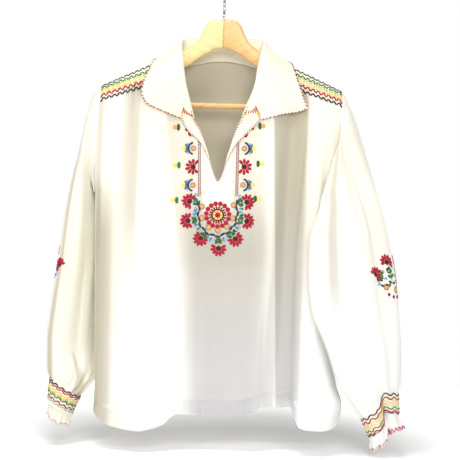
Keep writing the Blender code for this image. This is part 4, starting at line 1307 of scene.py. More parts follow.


# Where a single layer of cloth lets more through and gets painted shade for the unlit inside: left
# and right edge at the top and at the lower end, z of both ends, softness of left, right, upper and
# lower edge, how much
SHEER_FRONT = (
    ("below_left_yoke",
     -0.168, -0.164, -0.1392, -0.1430, -0.165, -0.46, 0.0060, 0.0014, 0.02, 0.16, 0.34),
    ("beside_left_yoke",
     -0.172, -0.170, -0.1392, -0.1400, -0.150, -0.19, 0.0060, 0.0030, 0.02, 0.04, 0.22),
    ("motif_ground",
     -0.098, -0.066, 0.0720, 0.0800, -0.200, -0.46, 0.0012, 0.0060, 0.01, 0.18, 0.20),
    ("lower_middle",
     -0.060, -0.036, 0.0880, 0.0820, -0.400, -0.80, 0.0160, 0.0160, 0.16, 0.10, 0.62),
    ("right_fold",
     0.0890, 0.1080, 0.1500, 0.1430, -0.180, -0.745, 0.0014, 0.0040, 0.02, 0.08, 0.66),
    ("right_shoulder",
     0.0720, 0.0880, 0.0880, 0.0880, -0.185, -0.30, 0.0040, 0.0030, 0.02, 0.10, 0.14),
    ("left_side",
     -0.212, -0.212, -0.1850, -0.1820, -0.380, -0.81, 0.0030, 0.0110, 0.14, 0.03, 0.66),
    ("left_edge",
     -0.213, -0.215, -0.2030, -0.2050, -0.170, -0.46, 0.0030, 0.0020, 0.02, 0.10, 0.34),
    ("facing", -0.035, -0.028, 0.0290, 0.0230, -0.230, -0.392, 0.0008, 0.0008, 0.01, 0.02, -0.24),
)
SHEER_BACK = (
    ("left_fold",
     -0.148, -0.140, -0.1100, -0.1040, -0.190, -0.60, 0.0040, 0.0060, 0.03, 0.14, 0.24),
    ("middle", -0.050, -0.056, 0.0300, 0.0100, -0.300, -0.77, 0.0100, 0.0100, 0.16, 0.10, 0.20),
    ("right_fold", 0.086, 0.070, 0.1180, 0.1100, -0.190, -0.74, 0.0040, 0.0070, 0.03, 0.10, 0.26),
)


def layers_of(table, x, z, full):
    """How little shows through the cloth, one where nothing does."""
    value = np.full(np.broadcast(x, z).shape, full)
    for _, left, left_low, right, right_low, top, low, *soft, much in table:
        t = np.clip((z - top) / (low - top), 0, 1)
        inside = 0.5 + 0.5 * np.tanh((x - left - (left_low - left) * t) / soft[0])
        inside = inside * (0.5 + 0.5 * np.tanh((right + (right_low - right) * t - x) / soft[1]))
        ends = smooth((top - z) / soft[2] + 0.5) * smooth((z - low) / soft[3] + 0.5)
        value = value - much * inside * ends
    return np.clip(value, 0.2, 0.99)


FRONT_FULL = 0.97
BACK_FULL = 0.95
front_grid = body_cloth(True, FRONT_COLUMNS, 150)
x = front_grid[..., 0]
above = front_grid[..., 2] - curve(HEM, "front", x)
front_layers = layers_of(SHEER_FRONT, x, front_grid[..., 2], FRONT_FULL)
# Painted shade on the front: where a single layer shows the unlit inside, and in stripes over the
# turned-up hem in the middle; less just above the hem's edge, a painted highlight
turned_up = smooth((HEM_HIGH - above) / 0.0015)
edge_light = smooth((0.0045 - above) / 0.003)
middle_part = smooth((x + 0.095) / 0.03) * smooth((0.075 - x) / 0.02)
pucker_shade = 0.5 + 0.5 * np.sin(x * 640 + 2.5 * np.sin(x * 97))
front_painted_shade = 1.25 * (1 - front_layers) - 0.25 * edge_light
front_painted_shade = front_painted_shade + turned_up * middle_part * (0.10 + 0.10 * pucker_shade)
front_cloth = single(
    "front_cloth",
    front_grid,
    SHEER,
    FRONT_FULL - 0.42 * (FRONT_FULL - front_layers),
    np.clip(front_painted_shade, 0, 0.9),
)

# Painted shade on the back: in its single-layer bands, and on its inner side round the neck, where
# the unlit inside shows
back_grid = body_cloth(False, BACK_COLUMNS, 130)[:, ::-1]
back_layers = layers_of(SHEER_BACK, back_grid[..., 0], back_grid[..., 2], BACK_FULL)
back_painted_shade = 0.45 * (1 - back_layers)
away = np.hypot((back_grid[..., 0] + 0.003) / 0.098, (back_grid[..., 2] + 0.215) / 0.150)
shaded = np.maximum(back_painted_shade, 0.88 * smooth((1.18 - away) / 0.36))
back_cloth = shell(
    "back_cloth",
    back_grid,
    SHEER,
    thick=0.0006,
    fields={"layers": (back_layers, back_layers), "painted_shade": (back_painted_shade, shaded)},
)


# Yokes: even steps over the shoulder, fine pleats from front to back
def yoke_profile(reach, count):
    """Height below the shoulder line and depth, in even steps over the shoulder."""
    q = np.linspace(-reach, reach, 801)
    drop = YOKE_DROP * q * q
    y = np.sign(q) * depth(drop)
    along = distances(np.stack([drop, y], axis=1))
    at = np.linspace(0, along[-1], count)
    return np.interp(at, along, drop), np.interp(at, along, y)


YOKE_ROWS = 64
YOKE_REACH = 1.03
STITCH_COLUMNS = 120
PLEAT_PITCH = 0.0046


def yoke_grid(side, count):
    """Points of a yoke and how high its pleats stand."""
    sign = -1 if side == 0 else 1
    xs = np.linspace(sign * (NECK_HALF - GAP), SHOULDER_X[side], count)
    drop, y = yoke_profile(YOKE_REACH, YOKE_ROWS)
    grid = np.zeros((YOKE_ROWS, count, 3))
    grid[..., 0] = xs
    grid[..., 1] = y[:, None]
    grid[..., 2] = ridge(xs)[None, :] - drop[:, None]
    wave = 0.5 + 0.5 * np.cos(2 * math.pi * xs / PLEAT_PITCH + 0.7 * np.sin(xs * 300))
    edge = smooth(np.minimum(np.arange(YOKE_ROWS), np.arange(YOKE_ROWS)[::-1]) / 4)
    relief = PLEAT_HIGH * wave[None, :] * edge[:, None]
    if side == 1:
        grid = grid[::-1]
    return grid, relief


def zigzag(start, end, pitch, high):
    """A path that goes to and fro as it runs, with its corners just rounded."""
    count = max(int(round(abs(end - start) / (pitch / 2))), 2)
    a = np.linspace(start, end, count + 1)
    uneven = 1 + 0.12 * rng.uniform(-1, 1, count + 1)
    b = high * np.where(np.arange(count + 1) % 2, 1, -1) * uneven
    return rounded(np.stack([a, b], axis=1), 1)


# Each row: how far below the shoulder line at the outer end and towards the neck, its
# thread, the thread's radius, and how far it swings to each side
YOKE_LINES = (
    (0.0256, 0.0372, "black", 0.00135, 0.0038),
    (0.0190, 0.0288, "red", 0.00140, 0.0040),
    (0.0155, 0.0240, "peach", 0.00090, 0.0030),
    (0.0124, 0.0198, "yellow", 0.00110, 0.0032),
    (0.0094, 0.0163, "lime", 0.00060, 0.0032),
    (0.0056, 0.0123, "green", 0.00135, 0.0040),
    (0.0018, 0.0045, "maroon", 0.00140, 0.0036),
)
YOKE_BELOW = np.array([0.0275, 0.0305, 0.0340, 0.0380, 0.0430])


def stitch_yoke(side):
    """Zigzag rows over the yoke; the lowest one holds it to the front and the back."""
    grid, relief = yoke_grid(side, STITCH_COLUMNS)
    outer = grid + normals(grid, False) * (CLOTH / 2 + relief)[..., None]
    if side == 1:
        outer = outer[::-1]
    xs = grid[0, :, 0]
    fronts = []
    backs = []
    for down in YOKE_BELOW:
        z = ridge(xs) - down
        fronts.append(np.stack([xs, -cloth_y(True, xs, z) - 0.0007, z], axis=-1))
        backs.append(np.stack([xs, cloth_y(False, xs, z) + 0.0007, z], axis=-1))
    outer = np.concatenate([np.array(fronts[::-1]), outer, np.array(backs)])
    ground = Ground(outer, flip=side == 1)
    drops = np.concatenate([YOKE_BELOW[::-1], yoke_profile(YOKE_REACH, YOKE_ROWS)[0], YOKE_BELOW])
    arc = distances(outer[:, STITCH_COLUMNS // 2])
    top = int(np.argmin(drops))
    arc = arc - arc[top]
    first = xs[0]
    last = xs[-1]
    low, high = sorted((first, last))

    def spot(x, b):
        column = (x - first) / (last - first) * (STITCH_COLUMNS - 1)
        return ground.at(np.interp(b, arc, np.arange(len(arc))), column)

    work = Stitching()
    for outer_down, inner_down, ink, radius, swing in YOKE_LINES:
        for face in (-1, 1):
            if outer_down < 0.002 and face > 0:
                continue
            path = zigzag(low + 0.002, high - 0.001, 0.0092, swing)
            out = (np.abs(path[:, 0]) - NECK_HALF) / (abs(SHOULDER_X[side]) - NECK_HALF)
            here = outer_down + (inner_down - outer_down) * np.clip((1 - out) / 0.6, 0, 1.15)
            if face < 0:
                path[:, 1] += np.interp(-here, -drops[: top + 1], arc[: top + 1])
            else:
                path[:, 1] += np.interp(here, drops[top:], arc[top:])
            work.strand(spot, path, radius, ink, 0.0003)
    return work


for side, label in enumerate(SIDES):
    grid, relief = yoke_grid(side, 160)
    piece = shell("yoke_cloth_" + label, grid, SMOCKED, relief=relief)
    stitch_yoke(side).piece("yoke_stitches_" + label)

# Collar and lapels
collar_points = collar_grid(np.linspace(0, 1, 171), np.linspace(0.02, 1.0, 26))
collar_cloth = shell("collar_cloth", collar_points, DENSE, thick=COLLAR_THICK)
collar_out = -normals(collar_points, False)
collar_facing = collar_points[(collar_out[..., 1] < -0.2) & (collar_points[..., 2] < -0.18)]


def collar_y(x, z):
    """Depth of the collar's front at a place across and a height."""
    away = (collar_facing[:, 0] - x[..., None]) ** 2 + (collar_facing[:, 2] - z[..., None]) ** 2
    weight = 1 / (away + 1e-7) ** 2
    return -(weight * collar_facing[:, 1]).sum(axis=-1) / weight.sum(axis=-1)


def lapel(rows, across, downs):
    """Points of a turned-back edge of the slit, from its fold to its outer edge."""
    rows = np.array(rows)
    at = np.linspace(0, len(rows) - 1, downs)
    fine = np.stack([np.interp(at, np.arange(len(rows)), rows[:, k]) for k in range(4)], axis=1)
    t = np.linspace(0, 1, across)
    x = fine[:, 0:1] + (fine[:, 2:3] - fine[:, 0:1]) * t
    z = fine[:, 1:2] + (fine[:, 3:4] - fine[:, 1:2]) * t
    y = cloth_y(True, x, z) + CLOTH + GAP + 0.0002 + 0.0015 * np.sin(math.pi * t)
    over = collar_y(x, z) + 0.0022
    share = smooth((z + 0.2400) / 0.012)
    y = np.maximum(y, over * share + y * (1 - share))
    grid = np.stack([x, -y, z], axis=-1)
    return grid[:, ::-1] if rows[0][0] > rows[0][2] else grid


lapel_grids = [lapel(rows, 12, 60) for rows in (LAPEL_LEFT, LAPEL_RIGHT)]
lapels = [
    shell("lapel_cloth_" + label, grid, DENSE, thick=0.0009)
    for label, grid in zip(SIDES, lapel_grids)
]

# Sleeves: angle at the top and at the lower end, where it starts and ends along the
# sleeve, half width in degrees, how far out
SLEEVE_CREASES = {
    "left": (
        (58, 66, 0.05, 0.60, 6, -0.0016),
        (74, 92, 0.25, 0.95, 7, 0.0018),
        (96, 84, 0.02, 0.45, 6, 0.0016),
        (112, 118, 0.10, 0.80, 7, -0.0018),
        (128, 116, 0.40, 0.98, 8, 0.0016),
        (30, 44, 0.20, 0.90, 7, 0.0014),
        (15, 20, 0.05, 0.50, 7, -0.0012),
        (150, 100, 0.02, 0.22, 7, 0.0022),
        (165, 120, 0.04, 0.30, 6, -0.0018),
        (205, 220, 0.05, 0.70, 8, 0.0016),
        (228, 240, 0.20, 0.95, 8, -0.0016),
        (256, 250, 0.05, 0.60, 8, 0.0016),
        (290, 300, 0.30, 0.95, 8, -0.0014),
        (330, 318, 0.05, 0.70, 8, 0.0014),
    ),
    "right": (
        (50, 46, 0.05, 0.70, 6, -0.0014),
        (70, 82, 0.10, 0.62, 5, -0.0024),
        (88, 100, 0.30, 0.95, 7, 0.0018),
        (104, 96, 0.03, 0.50, 6, 0.0014),
        (120, 128, 0.20, 0.90, 7, -0.0018),
        (28, 26, 0.25, 0.90, 7, 0.0014),
        (160, 112, 0.02, 0.26, 7, 0.0026),
        (172, 128, 0.06, 0.34, 6, -0.0018),
        (140, 150, 0.45, 0.98, 8, 0.0016),
        (210, 222, 0.05, 0.70, 8, 0.0016),
        (236, 246, 0.20, 0.95, 8, -0.0016),
        (262, 252, 0.05, 0.60, 8, 0.0014),
        (296, 300, 0.30, 0.95, 8, -0.0014),
        (328, 320, 0.05, 0.70, 8, 0.0014),
    ),
}


CUFF_GATHERS = 26
HEAD_GATHERS = 22
SLEEVE_COUNT = 200


def fine_sleeve(side, count):
    """A sleeve with its creases, the gathers at its head and those above the cuff."""
    alongs = np.concatenate([np.linspace(0.05, 0.90, 72), np.linspace(0.91, 1.0, 14)])
    grid, angles = tube((SLEEVE_LEFT, SLEEVE_RIGHT)[side], side, alongs, count)
    head = np.linspace(0, 1, 7)[1:-1, None, None]
    first = grid[0] + (grid[1] - grid[0]) * head
    grid = np.concatenate([grid[:1], first, grid[1:]])
    s = np.concatenate([[0], 0.05 * head.ravel(), alongs])[:, None]
    turn = np.degrees(angles)[None, :]
    radial = unit(grid - grid.mean(axis=1, keepdims=True))
    upper = 0.5 + 0.5 * np.cos(np.radians(turn))
    out = 0.0014 * np.sin(math.pi * np.clip(s / 0.05, 0, 1)) * upper
    for top, low, start, end, wide, high in SLEEVE_CREASES[SIDES[side]]:
        t = np.clip((s - start) / (end - start), 0, 1)
        away = apart(turn, top + (low - top) * t)
        out = out + high * smooth(t / 0.25) * smooth((1 - t) / 0.25) * hump(away, wide)
    for k in range(CUFF_GATHERS):
        at = (k + 0.5 + 0.3 * rng.uniform(-1, 1)) * 360 / CUFF_GATHERS
        reach = rng.uniform(0.05, 0.13)
        high = rng.uniform(0.0010, 0.0020) * (1 if k % 2 else -1)
        near = smooth((s - (0.985 - reach)) / reach) * np.where(s > 0.992, 0.5, 1.0)
        out = out + high * near * hump(apart(turn, at), 5.2)
    for k in range(HEAD_GATHERS):
        at = -105 + (k + 0.5 + 0.3 * rng.uniform(-1, 1)) * 210 / HEAD_GATHERS
        reach = rng.uniform(0.05, 0.15)
        high = rng.uniform(0.0007, 0.0015) * (1 if k % 2 else -1)
        near = smooth(s / 0.012) * smooth(1 - s / reach)
        out = out + high * near * hump(apart(turn, at), 4.0)
    return grid + radial * out[..., None], s.ravel(), angles


def sleeve_layers(side, grid):
    """How little shows through a sleeve."""
    x = grid[..., 0]
    z = grid[..., 2]
    front = smooth((0.01 - grid[..., 1]) / 0.01)
    value = np.full(x.shape, 0.95)
    if side == 0:
        value = value - 0.12 * smooth((-0.245 - x) / 0.02) * smooth((-0.20 - z) / 0.1) * front
    else:
        value = value - 0.10 * smooth((0.215 - x) / 0.03) * front
    return np.clip(value, 0.3, 1)


def sleeve_painted_shade(side, grid):
    """Painted shade on a sleeve's front where its cloth lies double or turns under: towards the
    left one's outer edge, on a flap above its cuff, and along a fold of the right one.
    """
    centre = grid[..., 0].mean(axis=1, keepdims=True)
    across = (grid[..., 0] - centre) / (np.ptp(grid[..., 0], axis=1, keepdims=True) / 2)
    z = grid[..., 2]
    front = smooth((0.01 - grid[..., 1]) / 0.01)
    if side == 0:
        outer = 0.80 * smooth((-0.62 - across) / 0.16) * smooth((-0.24 - z) / 0.12)
        flap = 0.75 * smooth((across - 0.30 + 7.0 * (z + 0.690)) / 0.05)
        return front * np.clip(outer + flap * smooth((-0.640 - z) / 0.012), 0, 1)
    fold = 0.55 * smooth((-0.30 - across) / 0.10) * smooth((across + 0.62) / 0.10)
    return front * fold * smooth((-0.20 - z) / 0.1) * smooth((z + 0.62) / 0.12)


# The right cuff's outer half: angle round the cuff, and how far it is drawn up
SLIP = (
    (0, 0.0),
    (30, 0.0030),
    (60, 0.0130),
    (88, 0.0240),
    (99, 0.0250),
    (107, 0.0060),
    (140, 0.0035),
    (180, 0.0035),
    (230, 0.0),
    (360, 0.0),
)


def slipped(points, angles, share):
    """The right cuff's outer half drawn up along the arm beside its deep pleat."""
    turn = np.degrees(angles) % 360
    axis = np.array((-0.22, 0.0, 0.975))
    return points + axis * (np.interp(turn, *np.transpose(SLIP)) * share)[..., None]


sleeves = []
for side, label in enumerate(SIDES):
    grid, along, angles = fine_sleeve(side, SLEEVE_COUNT)
    if side == 1:
        grid = slipped(grid, angles, smooth((along[:, None] - 0.86) / 0.14))
    fields = (grid, sleeve_layers(side, grid), sleeve_painted_shade(side, grid))
    shown, layers, painted_shade = [oriented(field, side) for field in fields]
    sleeves.append((single("sleeve_cloth_" + label, shown, SHEER, layers, painted_shade, True), grid))

# Cuffs and ruffles
# Rows of stitches on the left and the right cuff: share down it, thread, its radius
CUFF_LINES = (
    (
        (0.01, "maroon", 0.00125),
        (0.12, "red", 0.00115),
        (0.26, "peach", 0.00090),
        (0.35, "yellow", 0.00105),
        (0.42, "lime", 0.00060),
        (0.50, "green", 0.00115),
        (0.67, "red", 0.00120),
        (0.79, "sky", 0.00070),
    ),
    (
        (0.04, "black", 0.00120),
        (0.24, "red", 0.00125),
        (0.40, "peach", 0.00080),
        (0.53, "yellow", 0.00100),
        (0.70, "green", 0.00110),
        (0.88, "red", 0.00130),
        (0.99, "slate", 0.00070),
    ),
)
CUFF_WAVES = (14, 13)
CUFF_SWING = (0.078, 0.100)
CUFF_COUNT = 264
CUFF_ROWS = 30
CUFF_TOP = -0.03
CUFF_LOW = 1.01
CUFF_PLEATS = 44
RUFFLE_ROWS = 20
RUFFLE_TOP = (0.83, 1.0)
CUFF_ANGLES = np.linspace(0, 2 * math.pi, CUFF_COUNT, endpoint=False)


def cuff(side, label):
    """A cuff with its raised pleats, and the zigzag rows on it."""
    downs = np.linspace(CUFF_TOP, CUFF_LOW, CUFF_ROWS)
    grid = np.array([cuff_ring(side, max(s, 0.0), CUFF_ANGLES) for s in downs])
    grid[0] += (grid[0] - grid[2]) * 0.6
    if side == 1:
        grid = slipped(grid, CUFF_ANGLES, np.ones((CUFF_ROWS, 1)))
    pleat = 0.5 + 0.5 * np.cos(CUFF_ANGLES * CUFF_PLEATS)
    edge = smooth(np.minimum(np.arange(CUFF_ROWS), np.arange(CUFF_ROWS)[::-1]) / 3)
    relief = PLEAT_HIGH * pleat[None, :] * edge[:, None]
    shown = oriented(grid, side)
    cloth = shell("cuff_cloth_" + label, shown, SMOCKED, True, oriented(relief, side))
    flip = side == 1
    outward = normals(grid, True) * (-1 if flip else 1)
    ground = Ground(grid + outward * (CLOTH / 2 + relief)[..., None], True, flip)

    def spot(angle, s):
        row = (s - CUFF_TOP) / (CUFF_LOW - CUFF_TOP) * (CUFF_ROWS - 1)
        turns = (np.asarray(angle) % (4 * math.pi)) / (2 * math.pi)
        return ground.at(row, turns * CUFF_COUNT)

    work = Stitching()
    for s, ink, radius in CUFF_LINES[side]:
        pitch = 2 * math.pi / CUFF_WAVES[side]
        path = zigzag(0.02, 2 * math.pi - 0.02, pitch, CUFF_SWING[side])
        path[:, 1] += s
        work.strand(spot, path, radius, ink, 0.0004)
    return cloth, work.piece("cuff_stitches_" + label)


def ruffle_points(side):
    """A waved ruffle that widens below the cuff."""
    rows = []
    for s in np.linspace(RUFFLE_TOP[side], 2.0, RUFFLE_ROWS):
        points = cuff_ring(side, s, CUFF_ANGLES)
        wave = np.cos(CUFF_ANGLES * RUFFLE_WAVES + 0.6 * np.sin(CUFF_ANGLES * 3))
        small = 0.16 * np.cos(CUFF_ANGLES * CUFF_PLEATS) * (1.4 - (s - 1.0))
        lifted = 0.0026 * smooth((1.10 - s) / 0.12) if side == 0 else 0.0
        out = lifted + RUFFLE_HIGH * (max(s - 1.0, 0) * wave + small * 0.5)
        rows.append(points + unit(points - points.mean(axis=0)) * out[:, None])
    grid = np.array(rows)
    if side == 1:
        return slipped(grid, CUFF_ANGLES, np.linspace(1.0, 0.55, RUFFLE_ROWS)[:, None])
    x = grid[..., 0]
    middle = x.mean(axis=1, keepdims=True)
    across = (x - middle) / (np.ptp(x, axis=1, keepdims=True) / 2)
    far = np.linspace(0, 1, RUFFLE_ROWS)[:, None]
    outer = smooth((-0.3 - across) / 0.5)
    grid[..., 0] += far * (0.009 * outer - 0.003 * smooth((across - 0.4) / 0.5))
    grid[..., 2] += far * (0.007 * smooth((across - 0.2) / 0.5) - 0.005 * outer)
    return grid


cuffs = []
for side, label in enumerate(SIDES):
    cloth, stitches = cuff(side, label)
    ruffle = ruffle_points(side)
    shown = oriented(ruffle, side)
    dense = np.full(shown.shape[:2], 0.94)
    ruffle_cloth = single("ruffle_cloth_" + label, shown, SHEER, dense, closed=True)
    cuffs.append((cloth, stitches, ruffle_cloth, ruffle))

# Ruffle edges: a close zigzag on the right, small stitches on the left
for side, label, count, rows, radius, inks in (
    (0, "left", 44, (18.9, 18.0), 0.00045, ("rose", "pink")),
    (1, "right", 58, (18.9, 15.2), 0.00085, ("pink", "pink", "red")),
):
    ruffle = cuffs[side][3]
    ground = Ground(ruffle, True, side == 1)
    work = Stitching()
    for k in range(count):
        for half in (0, 1):
            a = (k + 0.5 * half + 0.12 * rng.uniform(-1, 1)) * CUFF_COUNT / count + 1
            b = (k + 0.5 * half + 0.5) * CUFF_COUNT / count + 1
            ends = rows if half == 0 else rows[::-1]
            steps = np.linspace(0, 1, 4)
            row = ends[0] + (ends[1] - ends[0]) * steps
            points, out = ground.at(row, a + (b - a) * steps)
            turn = (a / CUFF_COUNT * 360) % 360
            if side == 1 and 102 < turn < 230:
                work.rope(points + out * 0.0005, out, 0.00045, "rose", 5)
                continue
            work.rope(points + out * 0.0005, out, radius, inks[k % len(inks)], 5)
            if side == 1:
                work.rope(points - out * 0.0005, -out, radius * 0.8, inks[0], 5)
    work.piece("ruffle_edging_" + label)

# Embroidery on the front
GROUND_X = (-0.110, 0.100)
GROUND_Z = (-0.220, -0.480)
GROUND_STEP = 0.001
z, x = np.meshgrid(
    np.arange(*GROUND_Z, -GROUND_STEP), np.arange(*GROUND_X, GROUND_STEP), indexing="ij"
)
front_ground = Ground(np.stack([x, -cloth_y(True, x, z), z], axis=-1))


FLOWER_PETALS = 8
FLOWER_SIZE = 0.0140


def front_spot(x, z):
    return front_ground.at((GROUND_Z[0] - z) / GROUND_STEP, (x - GROUND_X[0]) / GROUND_STEP)


def polar(at, reach, turn):
    """The place at a distance and an angle from another."""
    return (at[0] + reach * math.cos(turn), at[1] + reach * math.sin(turn))


def flower(work, spot, at, toward, spread=112):
    """Petals that fan out from a dark heart."""
    turn = math.radians(toward)
    heart = polar(at, -0.0022, turn)
    for k in range(FLOWER_PETALS):
        a = turn + math.radians(spread * (2 * k / (FLOWER_PETALS - 1) - 1))
        long = FLOWER_SIZE * (0.80 + 0.05 * rng.uniform(-1, 1))
        work.petal(spot, polar(heart, 0.0030, a), a, long, 0.0051, 0.0012, "red", 1.5)
    work.dot(spot, heart, 0.0044, 0.0011, "maroon")
    for k in range(5):
        work.dot(spot, polar(heart, 0.0022, turn + 2 * math.pi * k / 5), 0.0009, 0.0016, "wine")
    return heart


def eyed_circle(work, spot, at, radius=0.0041):
    """A padded round spot with an eye, inside a ring."""
    work.dot(spot, at, radius, 0.0007, "orange")
    work.dot(spot, at, radius * 0.30, 0.0011, "yellow")
    work.dot(spot, at, radius + 0.0010, 0.0006, "grey", radius * 0.94)


def spray(work, spot, foot, heart):
    """A stem with a pair of leaves and two buds at its foot."""
    foot = np.array(foot)
    reach = np.array(heart) - foot
    long = np.linalg.norm(reach)
    turn = math.atan2(reach[1], reach[0])
    work.strand(spot, [foot, foot + reach * 0.5, foot + reach], 0.00045, "brown", 0.0008)
    for way in (-1, 1):
        a = turn + way * math.radians(48)
        b = turn + way * math.radians(58)
        work.petal(spot, foot + reach * 0.16, a, 0.0092, 0.0048, 0.0010, "green", 0.95)
        work.petal(spot, foot + reach * 0.42, b, 0.0074, 0.0032, 0.0009, "forest", 0.95)
        side = np.array([-math.sin(turn), math.cos(turn)]) * way
        bud = foot + reach * (0.34 * 0.012 / max(long, 0.008)) + side * 0.0092
        work.petal(spot, bud, a, 0.0068, 0.0050, 0.0010, "sky", 0.9)


ROSETTE = (-0.0017, -0.3980)
WREATH = (
    (-0.0526, -0.3748, 160),
    (-0.0548, -0.4094, 187),
    (-0.0312, -0.4403, 232),
    (0.0012, -0.4573, 270),
    (0.0309, -0.4397, 308),
    (0.0507, -0.4075, -6),
    (0.0498, -0.3741, 18),
)
CIRCLES = (
    (-0.0293, -0.3839),
    (-0.0288, -0.4037),
    (-0.0166, -0.4192),
    (-0.0008, -0.4240),
    (0.0148, -0.4173),
    (0.0249, -0.4030),
    (0.0252, -0.3803),
)
GARLAND = (
    (-0.0335, -0.3730),
    (-0.0345, -0.3900),
    (-0.0352, -0.4080),
    (-0.0285, -0.4215),
    (-0.0195, -0.4300),
    (-0.0085, -0.4345),
    (0.0040, -0.4345),
    (0.0150, -0.4290),
    (0.0250, -0.4190),
    (0.0315, -0.4060),
    (0.0322, -0.3890),
    (0.0290, -0.3710),
)
TULIPS = (
    (-0.0464, -0.2846, -1),
    (-0.0455, -0.3478, -1),
    (0.0412, -0.2826, 1),
    (0.0404, -0.3452, 1),
)
BUDS = (
    (-0.0767, -0.2489, -1),
    (-0.0753, -0.3141, -1),
    (-0.0774, -0.3744, -1),
    (0.0705, -0.2432, 1),
    (0.0701, -0.3082, 1),
    (0.0669, -0.3685, 1),
)
PEEPING = (
    (-0.0600, -0.2492, -75, 0.0070),
    (-0.0560, -0.2560, -60, 0.0095),
    (-0.0500, -0.2605, -20, 0.0070),
    (0.0500, -0.2492, 20, 0.0080),
    (0.0460, -0.2560, -120, 0.0090),
    (0.0395, -0.2600, -150, 0.0050),
)
PLACKETS = (
    ((-0.0366, -0.2640), (-0.0340, -0.3674), 1),
    ((0.0296, -0.2660), (0.0301, -0.3657), -1),
)


def rosette(work, spot, at):
    """Petals round two rings of dots, and an eye of small petals."""
    for k in range(15):
        a = 2 * math.pi * (k + 0.25) / 15
        work.petal(spot, polar(at, 0.0152, a), a, 0.0090, 0.0080, 0.0013, "red", 1.0)
    for reach, ink in ((0.0100, "maroon"), (0.0134, "red")):
        for k in range(18):
            work.dot(spot, polar(at, reach, 2 * math.pi * k / 18), 0.0018, 0.0008, ink)
    for k in range(16):
        a = 2 * math.pi * k / 16
        ink = "yellow" if k % 2 else "orange"
        work.petal(spot, polar(at, 0.0046, a), a, 0.0046, 0.0026, 0.0008, ink, 1.0)
    work.dot(spot, at, 0.0046, 0.0012, "red")
    work.dot(spot, at, 0.0017, 0.0016, "wine")


GARLAND_LEAVES = 17
PLACKET_ROWS = 27
SMALL_LEAVES = 26
front_work = Stitching()
rosette(front_work, front_spot, ROSETTE)
for place in CIRCLES:
    eyed_circle(front_work, front_spot, place)
garland = rounded(GARLAND, 3)
steps = distances(garland)
for k in range(GARLAND_LEAVES):
    at = (k + 0.5) / GARLAND_LEAVES * steps[-1]
    a = point_on(garland, steps, at - 0.0058)
    b = point_on(garland, steps, at + 0.0058)
    sway = 0.18 if k % 2 else -0.18
    turn = math.atan2(b[1] - a[1], b[0] - a[0]) + sway
    front_work.petal(front_spot, a, turn, 0.0116, 0.0040, 0.0010, "navy", 1.0)
for k in range(SMALL_LEAVES):
    at = (k + 0.5) / SMALL_LEAVES * steps[-1]
    here = point_on(garland, steps, at)
    ahead = point_on(garland, steps, at + 0.002) - here
    side_on = unit(np.array([ahead[1], -ahead[0]]))
    if side_on @ (here - np.array([-0.0035, -0.3960])) < 0:
        side_on = -side_on
    foot = here + side_on * rng.uniform(0.0020, 0.0036)
    turn = math.atan2(side_on[1], side_on[0]) + rng.uniform(-0.9, 0.9)
    ink = ("sky", "forest", "slate", "green")[k % 4]
    front_work.petal(front_spot, foot, turn, 0.0082, 0.0042, 0.0008, ink, 0.9)
for x, z, toward in WREATH:
    heart = flower(front_work, front_spot, (x, z), toward)
    nearest = garland[np.argmin(np.linalg.norm(garland - np.array([x, z]), axis=1))]
    spray(front_work, front_spot, nearest, heart)
flower(front_work, front_spot, (-0.0482, -0.3163), 180, spread=125)
flower(front_work, front_spot, (0.0436, -0.3139), 0, spread=125)
for x, z, toward, size in PEEPING:
    front_work.petal(front_spot, (x, z), math.radians(toward), size, 0.0050, 0.0012, "red", 1.1)
for x, z, way in TULIPS:
    eyed_circle(front_work, front_spot, (x, z), 0.0038)
    arc = np.radians(np.linspace(-78, 78, 15))
    cup = np.stack([x + way * 0.0082 * np.cos(arc), z + 0.0098 * np.sin(arc)], axis=1)
    front_work.strand(front_spot, cup, 0.0016, "navy", 0.0004)
    outward = math.radians(90 - way * 90)
    for up in (-1, 1):
        start = (x + way * 0.0084, z + up * 0.0012)
        turn = outward + way * up * 0.80
        front_work.petal(front_spot, start, turn, 0.0086, 0.0054, 0.0011, "slate")
        start = (x + way * 0.0062, z + up * 0.0060)
        turn = outward + way * up * 0.55
        front_work.petal(front_spot, start, turn, 0.0060, 0.0034, 0.0009, "sky")
    stem = [(x + way * 0.0075, z), (x + way * 0.0130, z)]
    front_work.strand(front_spot, stem, 0.0010, "navy", 0.0008)
    front_work.dot(front_spot, (x + way * 0.0160, z), 0.0037, 0.0010, "yellow")
for x, z, way in BUDS:
    top = z > -0.28
    ink = "orange" if top else "yellow"
    front_work.dot(front_spot, (x + way * 0.0022, z), 0.0040, 0.0010, ink)
    ink = "green" if way < 0 and not top else "forest"
    for up in (-1, 1):
        start = (x - way * 0.0036, z - up * 0.0008)
        lean = math.radians(90 * up) + (0 if top else way * up * 0.35)
        front_work.petal(front_spot, start, lean, 0.0070, 0.0052, 0.0010, ink)
    stem = [(x - way * 0.0075, z), (x - way * 0.0018, z)]
    front_work.strand(front_spot, stem, 0.0006, "green", 0.0008)
for start, end, way in PLACKETS:
    start = np.array(start)
    end = np.array(end)
    for k in range(PLACKET_ROWS):
        here = start + (end - start) * (k + 0.5) / PLACKET_ROWS
        ink = "maroon" if k % 2 else "red"
        for column in (-1, 1):
            place = (here[0] + column * 0.00150, here[1] + (0.0019 if column > 0 else 0.0))
            front_work.dot(front_spot, place, 0.00125, 0.0007, ink)
    for k in range(6):
        here = start + (end - start) * (k + 0.4) / 6
        x = here[0] + way * 0.0068
        front_work.dot(front_spot, (x, here[1]), 0.0020, 0.0006, "straw")
        front_work.dot(front_spot, (x, here[1] - 0.0026), 0.0012, 0.0005, "yellow")
front_embroidery = front_work.piece("front_embroidery")


